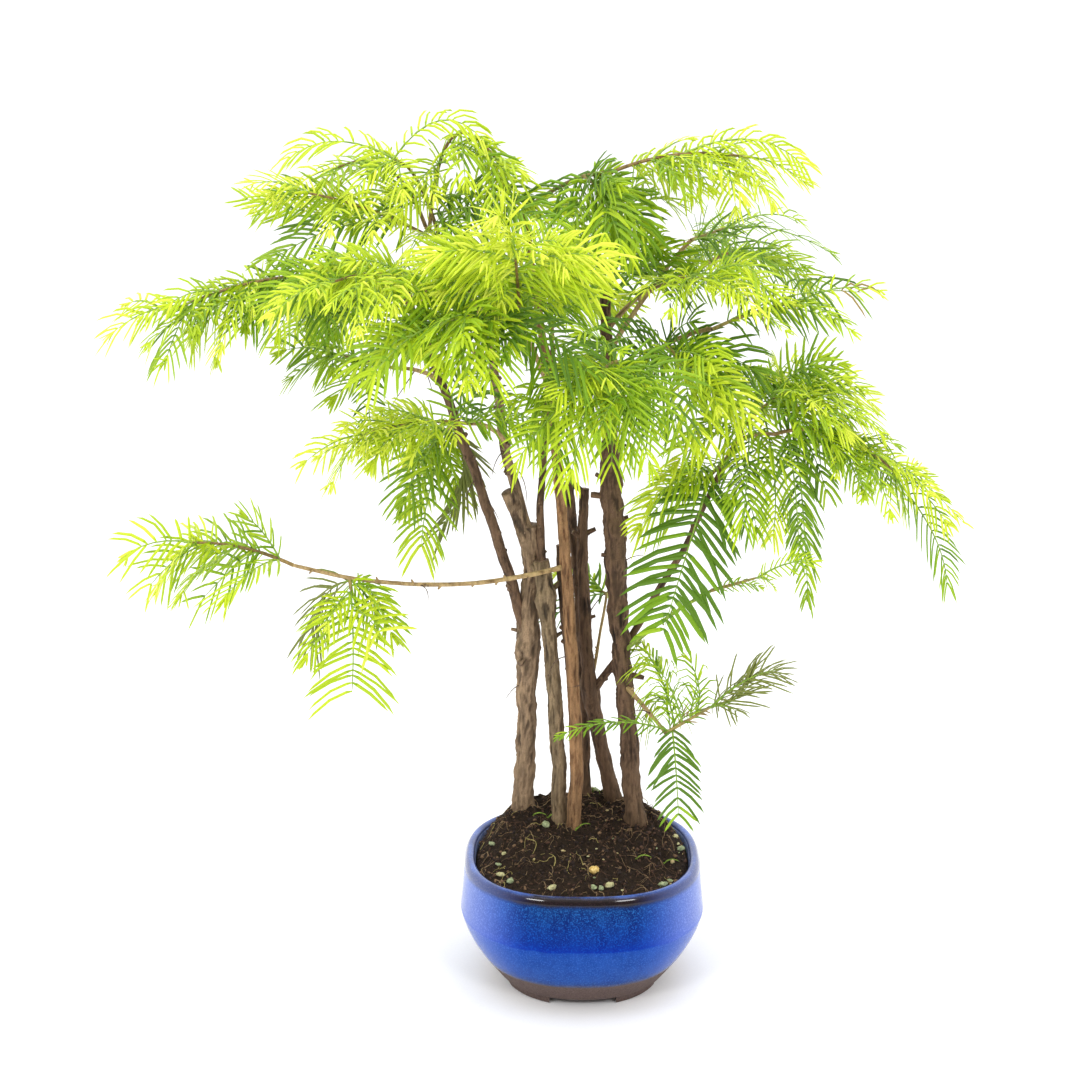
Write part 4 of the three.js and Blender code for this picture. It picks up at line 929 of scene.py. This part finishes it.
    ("spray_right_bright", "bough_upper_right", 0.5, (30, -50, 16), (0, 0, 4), 5, 46, 42, 55, 0.25, 0.2,
     25, "lime",
     dict(fill=0, look=dict(shoots=1, long=0.62, wide=1.3, tints=(2, 3, 4, 4)),
          more=[(0.2, (-55, -17, -5), (-1, 0, 9), "fresh", dict(long=0.75, sag=0.5)),
                (0.9, (34, -22, -16), (5, 0, 16), "lime", dict(long=0.7, sag=0.6))])),
    ("spray_right_tip", "bough_right", 1, (46, -6, 16), (0, 0, 2), 4, 40, 44, 45, 0.3, 0, 26, "fresh",
     dict(fill=0, look=dict(pitch=6.4, long=0.5, wide=1.3, shoots=0),
          more=[(0.15, (72, -9, 18), (-1, 0, 7), "deep",
                 dict(long=0.78, wide=1.3, pitch=4.8, sag=1, dry=True)),
                (0.5, (42, -11, -3), (0, 0, 4), "green", dict(long=0.55))])),
    ("spray_right_inner", "bough_right", 0.5, (10, -40, -4), (0, 0, 6), 5, 46, 44, 60, 0.4, 0.4, 62,
     "green",
     dict(more=[(0.1, (-48, -61, 4), (3, 0, 10), "deep", dict(long=0.95, sag=0.8)),
                (0.9, (37, -13, -25), (3, 0, 5), "fresh", dict(long=0.6, sag=0.4))])),
    ("spray_right_far", "bough_right_far", 0.97, (65, -6, -20), (0, 0, 11), 5, 44, 45, 50, 0.6, 0, 28,
     "lime",
     dict(look=dict(long=0.56, wide=1.3, tints=(1, 1, 2, 3, 4)),
          placed=[dict(at=0.16, run=(14, 27, -106), fall=0, look=dict(long=0.6, wide=1.5, tints=(1,)))],
          more=[(0.72, (49, -2, -79), (11, 0, -1), "green",
                 dict(long=0.62, pitch=4.6, wide=1.2, sag=0.5)),
                (0.3, (83, -13, -50), (0, 0, 11), "lime", dict(long=0.42, sag=0.3)),
                (0.1, (9, 0, -72), (1, 0, 4), "green", dict(long=0.5, sag=0.4))])),
    ("spray_right_cluster", "fork_back", 1, (36, 12, 20), (0, 0, 5), 6, 50, 42, 62, 0.4, 0.3, 27,
     "fresh",
     dict(look=dict(tints=(1, 2, 3, 4, 4)), placed=[dict(at=0.05, run=(-40, -24, -6), fall=0.2)],
          more=[(0.1, (-6, -43, -47), (1, 0, 2), "fresh", dict(long=0.8, wide=1.5, sag=0.4)),
                (0.4, (33, -7, -52), (3, 0, 7), "green", dict(long=0.55, sag=0.4)),
                (0.2, (-37, -25, -8), (-3, 0, 5), "green", dict(long=0.45, sag=0.3)),
                (0.8, (27, -2, -8), (2, 0, 7), "green", dict(long=0.6, sag=0.4, dry=True)),
                (0.05, (22, -23, -19), (-2, 0, 4), "fresh", dict(long=0.6, sag=0.4)),
                (0.3, (5, -26, -66), (4, 0, -3), "lime", dict(long=0.55, sag=0.4))])),
    ("spray_back_centre", "whip_left_inner", 1, (-4, 56, 26), (0, 0, 8), 5, 56, 50, 58, 0.35, 0.2, 30,
     "green",
     dict(face=90)),
    ("spray_back_left", "bough_back_left", 1, (-42, 44, 2), (0, 0, 8), 5, 54, 46, 58, 0.4, 0.2, 31,
     "fresh",
     dict(face=120)),
    ("spray_back_right", "bough_back_right", 1, (46, 40, 0), (0, 0, 8), 5, 54, 46, 58, 0.4, 0.2, 32,
     "fresh",
     dict(face=60, look=dict(pitch=5.4, wide=1.2, long=0.64, shoots=1))),
]
REGIONS = [("low", 6), ("front", 9), ("left", 18), ("right", 27), ("back", 30)]  # each ends before this spray


def leaf(code):
    material, tree, shader = bare_material("needles_" + code, 0.42, 0.28)
    shader.inputs["Base Color"].default_value = tone(code)
    roughen(tree, shader, mottle(tree, 1500)["Height"], 0.15, 0.0002)
    return material


def seeded(state):
    """The source's random numbers, so that the fronds stand where the solid has them."""
    def step():
        nonlocal state
        state = (state * 1664525 + 1013904223) % 2 ** 32
        return state / 2 ** 32
    return step


def across_level(way):
    return Vector((way.y, -way.x, 0)).normalized()


def shifted(tint, by):
    """A tint further along from deep to bright. Dry and withered needles stay as they are."""
    return tint if tint > BRIGHTEST else min(BRIGHTEST, max(0, tint + by))


def fronds_of(spray, at, along):
    """The source's rule: side fronds left and right in turn, one at the end, and the placed ones."""
    step = seeded(spray["seed"])
    fronds = []

    def add(share, way, length, fall, roll, slim=1, look={}):
        way = Vector((way.x, way.y, way.z - fall)).normalized()
        fronds.append(dict(at=share, start=at(share), run=way * length, length=length, slim=slim,
                           roll=math.radians(roll), look=look))

    for i in range(spray["side"]):
        share = 0.12 + 0.78 * i / max(1, spray["side"] - 1)
        way = along(share)
        hand = 1 if i % 2 else -1
        spread = math.radians(spray["spread"] + 16 * (step() - 0.5))
        length = spray["frond"] * (1 + 0.3 * (step() - 0.5))
        fall = spray["fall"] + 0.2 * (step() - 0.5)
        roll = hand * -30 + 20 * (step() - 0.5)
        aside = across_level(way) * (hand * math.sin(spread))
        add(share, way * math.cos(spread) + aside, length, fall, roll)
    last = spray.get("end_look", {})
    add(0.95, along(1), spray["end"], spray["end_fall"], 10 * (step() - 0.5), 1, last)
    if "run" in last:
        run = Vector(last["run"])
        fronds[-1].update(run=run, bow=last["bow"], length=run.length)
    for one in spray.get("placed", ()):
        way = Vector(one["run"])
        add(one["at"], way.normalized(), way.length, one["fall"], 10 * (step() - 0.5), one.get("slim", 1),
            one.get("look", {}))
    return fronds


def fronds_between(spray, sides, at, along, reach, draw):
    """Smaller fronds that fill the gaps between the side fronds, and two young ones that rise."""
    fronds = []

    def add(share, way, length, roll):
        fronds.append(dict(at=share, start=at(share), run=way * length, length=length, roll=roll))

    for first, second in zip(sides, sides[2:]):
        apart = second["at"] - first["at"]
        count = max(1, round(apart * reach / 14))
        for k in range(1, 1 + count):
            share = k / (1 + count)
            way = first["run"].normalized().lerp(second["run"].normalized(), share)
            way = (way + Vector([draw.gauss(0, 0.18) for _ in range(3)])).normalized()
            length = first["length"] + (second["length"] - first["length"]) * share
            length *= draw.uniform(0.6, 0.95)
            add(first["at"] + apart * share, way, length, first["roll"] + draw.uniform(-0.5, 0.5))
    for k in range(2):
        share = 0.3 + 0.4 * k + draw.uniform(-0.1, 0.1)
        length = draw.uniform(0.5, 0.8) * spray["frond"]
        way = along(share) + Vector((draw.gauss(0, 0.2), draw.gauss(0, 0.2), draw.uniform(0.1, 0.6)))
        add(share, way.normalized(), length, draw.uniform(-0.6, 0.6))
    return fronds


def grow_frond(growth, frond, face, style, draw, tint, size=1.0):
    """A rib with needles in two ranks, which shorten and close up towards its tip."""
    length = frond["length"]
    at, along = bent(frond["start"], frond["run"], frond.get("bow", (0, 0, 0.1 * length)))
    free = style.get("free", 1)
    turned = math.radians(face + draw.gauss(0, 28) * free)
    look = Vector((math.cos(turned), math.sin(turned), 1 + draw.uniform(-0.5, 0.9) * free)).normalized()
    growth.twigs.strand(at, along, lambda t: (0.6 - 0.38 * t) * size, 4, max(5, int(length / 6)), 0)
    count = max(5, int(length / style["pitch"]))
    reach = FULL_NEEDLE * style["long"] * frond.get("slim", 1) * (0.4 + 0.6 * min(1, length / 45))
    reach *= draw.uniform(1 - 0.25 * free, 1 + 0.12 * free)
    sway = draw.uniform(-0.1, 0.1)
    opening = style["rake"] + draw.gauss(0, 7) * free
    closing = opening - style.get("last", 24)
    drop = style["sag"] * draw.uniform(1 - 0.6 * free, 1 + 0.5 * free)
    for i in range(count):
        t = 0.02 + 0.98 * (i + 0.5 * draw.random()) / count
        way = along(t)
        upper = (look - way * look.dot(way)).normalized()
        upper = Matrix.Rotation(frond["roll"], 3, way) @ upper
        across = way.cross(upper)
        long = reach * math.sin(math.pi * (0.22 + style.get("taper", 0.62) * t)) ** 0.8
        long *= draw.uniform(0.86, 1.08)
        for hand in (-1, 1):
            if draw.random() < 0.05:
                continue
            rake = opening - closing * t ** style.get("close", 2) + draw.gauss(0, 4)
            rake = math.radians(rake) + hand * sway
            lift = math.radians(draw.gauss(5, style["fan"]))
            sag = max(0, draw.gauss(drop, 0.1))
            out = across * hand * math.cos(lift) + upper * math.sin(lift)
            heading = way * math.cos(rake) + out * math.sin(rake) + UP * 0.5 * sag
            flat = (upper - heading * upper.dot(heading)).normalized()
            kind = tint
            if tint <= BRIGHTEST:
                kind = shifted(tint, (1 if t > 0.8 else 0) + draw.choice((0, 0, 0, 0, 0, 1, -1)))
            if style.get("dry") and t > draw.uniform(0.7, 0.95):
                kind = DRY
            full = draw.uniform(0.92, 1.06)
            wide = style["wide"] * (0.7 + 0.3 * min(1, long / 20)) * draw.uniform(0.85, 1.1)
            growth.needle(at(t), heading, flat, way, long * full, wide, sag, draw.uniform(0, 0.42), kind)
    for k in range(5 if free == 1 and tint <= BRIGHTEST else 0):
        way = along(1)
        heading = (way + Vector([draw.gauss(0, 0.35) for _ in range(3)])).normalized()
        flat = (look - heading * look.dot(heading)).normalized()
        growth.needle(at(draw.uniform(0.93, 1)), heading, flat, way, reach * draw.uniform(0.3, 0.5),
                      style["wide"] * 0.8, draw.uniform(-0.1, 0.3), 0.1, shifted(tint, 1))


def grow_stem_needles(growth, at, along, length, style, draw):
    """Single long needles that hang in curves from the stem between its fronds."""
    count = int(length / 3.6)
    for i in range(count):
        t = 0.1 + 0.88 * (i + draw.random()) / count
        way = along(t)
        across = way.cross(UP).normalized() * draw.choice((-1, 1))
        heading = way * draw.uniform(0.25, 0.8) + across * draw.uniform(0.5, 1)
        heading = (heading + UP * draw.uniform(-0.5, 0.35)).normalized()
        flat = heading.cross(way).cross(heading)
        flat = flat.normalized() if flat.length > 0.01 else across
        growth.needle(at(t), heading, flat, way, draw.uniform(11, 22) * style["long"], style["wide"],
                      draw.uniform(0.2, 0.6), draw.uniform(0, 0.2), draw.choice(style["tints"]))


def grow_limb_needles(growth, style, draw):
    """Pairs of needles that stand out from a young limb and arch down on both sides of it."""
    at, along, radius = LIMBS[style["on"]]
    first = style["first"]
    count = int((at(1) - at(0)).length * (1 - first) / style["pitch"])
    for i in range(count):
        t = first + (1 - first) * (i + draw.random() * 0.6) / count
        way = along(t)
        across = way.cross(UP).normalized()
        for hand in (-1, 1):
            out = across * hand + UP * draw.uniform(0.0, 0.6)
            heading = (out + way * draw.uniform(0.1, 0.6)).normalized()
            flat = heading.cross(way).cross(heading).normalized()
            base = at(t) + across * hand * radius(t) * 0.6
            growth.needle(base, heading, flat, way, draw.uniform(0.75, 1.1) * style["long"] * FULL_NEEDLE,
                          style["wide"], style["sag"] * draw.uniform(0.7, 1.2), draw.uniform(-0.1, 0.2),
                          draw.choice(style["tints"]))


def grow_shoots(growth, frond, face, style, draw, tint):
    """Side fronds on a frond that is long enough to branch."""
    at, along = bent(frond["start"], frond["run"], (0, 0, 0.1 * frond["length"]))
    for k in range(style.get("shoots", 2)):
        share = 0.1 + 0.22 * k + draw.uniform(0, 0.12)
        way = along(share)
        aside = across_level(way) * (1 if k % 2 else -1)
        heading = way * draw.uniform(0.5, 0.9) + aside * draw.uniform(0.4, 0.8)
        heading = (heading + UP * draw.uniform(-0.4, 0.3)).normalized()
        length = frond["length"] * draw.uniform(0.32, 0.55)
        shoot = dict(start=at(share), run=heading * length, length=length, roll=frond["roll"])
        by = draw.choice((-1, 0, 0, 1)) if tint <= BRIGHTEST else 0
        grow_frond(growth, shoot, face, style, draw, shifted(tint, by), 0.8)


LEAF = [leaf(code) for code in LEAVES]
TWIGS = [("green_rib", "6f8f2c", "93b340"), ("young_twig", "7a7038", "a08c4c"),
         ("brown_twig", "66502c", "94783e")]
TWIG = [grained(*row, 0.6, 500, 0.3, 0) for row in TWIGS]
twigs = {region: Growth() for region, end in REGIONS}
for number, row in enumerate(SPRAYS):
    spray = dict(zip(COLUMNS, row)) | row[-1]
    at, along = bent(LIMBS[spray["on"]][0](spray["at"]), spray["run"], spray["bow"])
    style = NEEDLES[spray["leaf"]] | spray.get("look", {})
    reach = Vector(spray["run"]).length
    face = spray.get("face", FRONT)
    draw = random.Random(500 + number)
    growth = Growth(twigs[next(region for region, end in REGIONS if number < end)])
    growth.twigs.strand(at, along, lambda t: 1.1 * (1 - 0.45 * t), 6, max(4, int(reach / 4)),
                        2 if reach > 50 else 1)
    grow_stem_needles(growth, at, along, reach, style, draw)
    if "limb" in spray:
        grow_limb_needles(growth, spray["limb"], draw)
    fronds = fronds_of(spray, at, along)
    between = []
    if spray.get("fill", 1):
        between = fronds_between(spray, fronds[:spray["side"]], at, along, reach, draw)
    for share, run, bow, kind, own in spray.get("more", ()):
        fronds.append(dict(at=share, start=at(share), run=Vector(run), bow=bow, length=Vector(run).length,
                           roll=0, look={"free": 0.5, "shoots": 0, **NEEDLES[kind], **own}))
    for frond in fronds + between:
        own = style | frond.get("look", {})
        age = min(0.99, max(0, 0.65 * (1 - frond["at"]) + draw.gauss(0.17, 0.22)))
        tint = sorted(own["tints"], reverse=True)[int(age * len(own["tints"]))]
        grow_frond(growth, frond, face, own, draw, tint)
        if 38 <= frond["length"] <= 90:
            grow_shoots(growth, frond, face, own, draw, tint)
    growth.piece(spray["name"] + "_needles", LEAF, "foliage", [spray["name"]])
for region, grown in twigs.items():
    grown.piece(region + "_twigs", TWIG, "twig")


# The room: a plain pale floor that runs on as the background, and soft studio light
ground = bmesh.new()
bmesh.ops.create_grid(ground, x_segments=4, y_segments=4, size=14)
bmesh.ops.translate(ground, vec=(0, 6, -0.0002), verts=ground.verts)
floor_mesh = bpy.data.meshes.new("floor")
ground.to_mesh(floor_mesh)
ground.free()
pale_floor = grained("pale_floor", "fafafb", "fdfdfd", bump=0)
pale_floor.node_tree.nodes["Principled BSDF"].inputs["Specular IOR Level"].default_value = 0.0
floor_mesh.materials.append(pale_floor)
floor = bpy.data.objects.new("floor", floor_mesh)
bpy.context.scene.collection.objects.link(floor)

# The sky is white, and dim only low down behind the camera, where the glaze mirrors it
world = bpy.data.worlds.new("studio")
bpy.context.scene.world = world
world.use_nodes = True
sky = world.node_tree
direction = shade(sky, "SeparateXYZ", {"Vector": shade(sky, "TexCoord")["Generated"]})
behind = ranged(sky, direction["Y"], -0.85, -0.2, 1.0, "SMOOTHSTEP")
above = ranged(sky, direction["Z"], 0.4, 0.8, 1.0, "SMOOTHSTEP")
most = shade(sky, "Math", {0: behind, 1: above}, operation="MAXIMUM")[0]
glow = shade(sky, "MapRange", {"Value": most, "To Min": 0.35, "To Max": 1.3})["Result"]
sky.links.new(glow, sky.nodes["Background"].inputs["Strength"])
sky.nodes["Background"].inputs["Color"].default_value = (1.0, 1.0, 1.0, 1)
bpy.context.scene.view_settings.view_transform = "Standard"


def softbox(name, spot, target, width, height, power):
    lamp = bpy.data.lights.new(name, "AREA")
    lamp.shape = "RECTANGLE"
    lamp.size, lamp.size_y = width, height
    lamp.energy = power
    box = bpy.data.objects.new(name, lamp)
    bpy.context.scene.collection.objects.link(box)
    box.location = spot
    box.rotation_euler = (Vector(target) - Vector(spot)).to_track_quat("-Z", "Y").to_euler()


softbox("top_softbox", (0, -0.1, 1.7), (0, 0, 0.3), 1.2, 1.2, 8)
softbox("left_softbox", POT_MIDDLE + Vector((-0.62, -1.02, 0.825)), (0, 0, 0.2), 0.34, 0.16, 4.4)
softbox("right_softbox", POT_MIDDLE + Vector((0.536, -1.06, 0.831)), (0, 0, 0.2), 0.34, 0.16, 4.0)

# The camera stands where the photo was taken from: 1.3 m away, looking 17.5 degrees down
CAMERA_BACK = (-0.0242, -1.2398, 0.6546)
FOCAL_PIXELS, PICTURE_PIXELS = 2358, 1080
view = bpy.data.cameras.new("camera")
view.sensor_width = 36
view.lens = FOCAL_PIXELS / PICTURE_PIXELS * view.sensor_width
view.clip_end = 60
camera = bpy.data.objects.new("camera", view)
bpy.context.scene.collection.objects.link(camera)
camera.location = POT_MIDDLE + Vector(CAMERA_BACK)
camera.rotation_euler = (math.radians(90 - 17.5), 0, 0)
bpy.context.scene.camera = camera
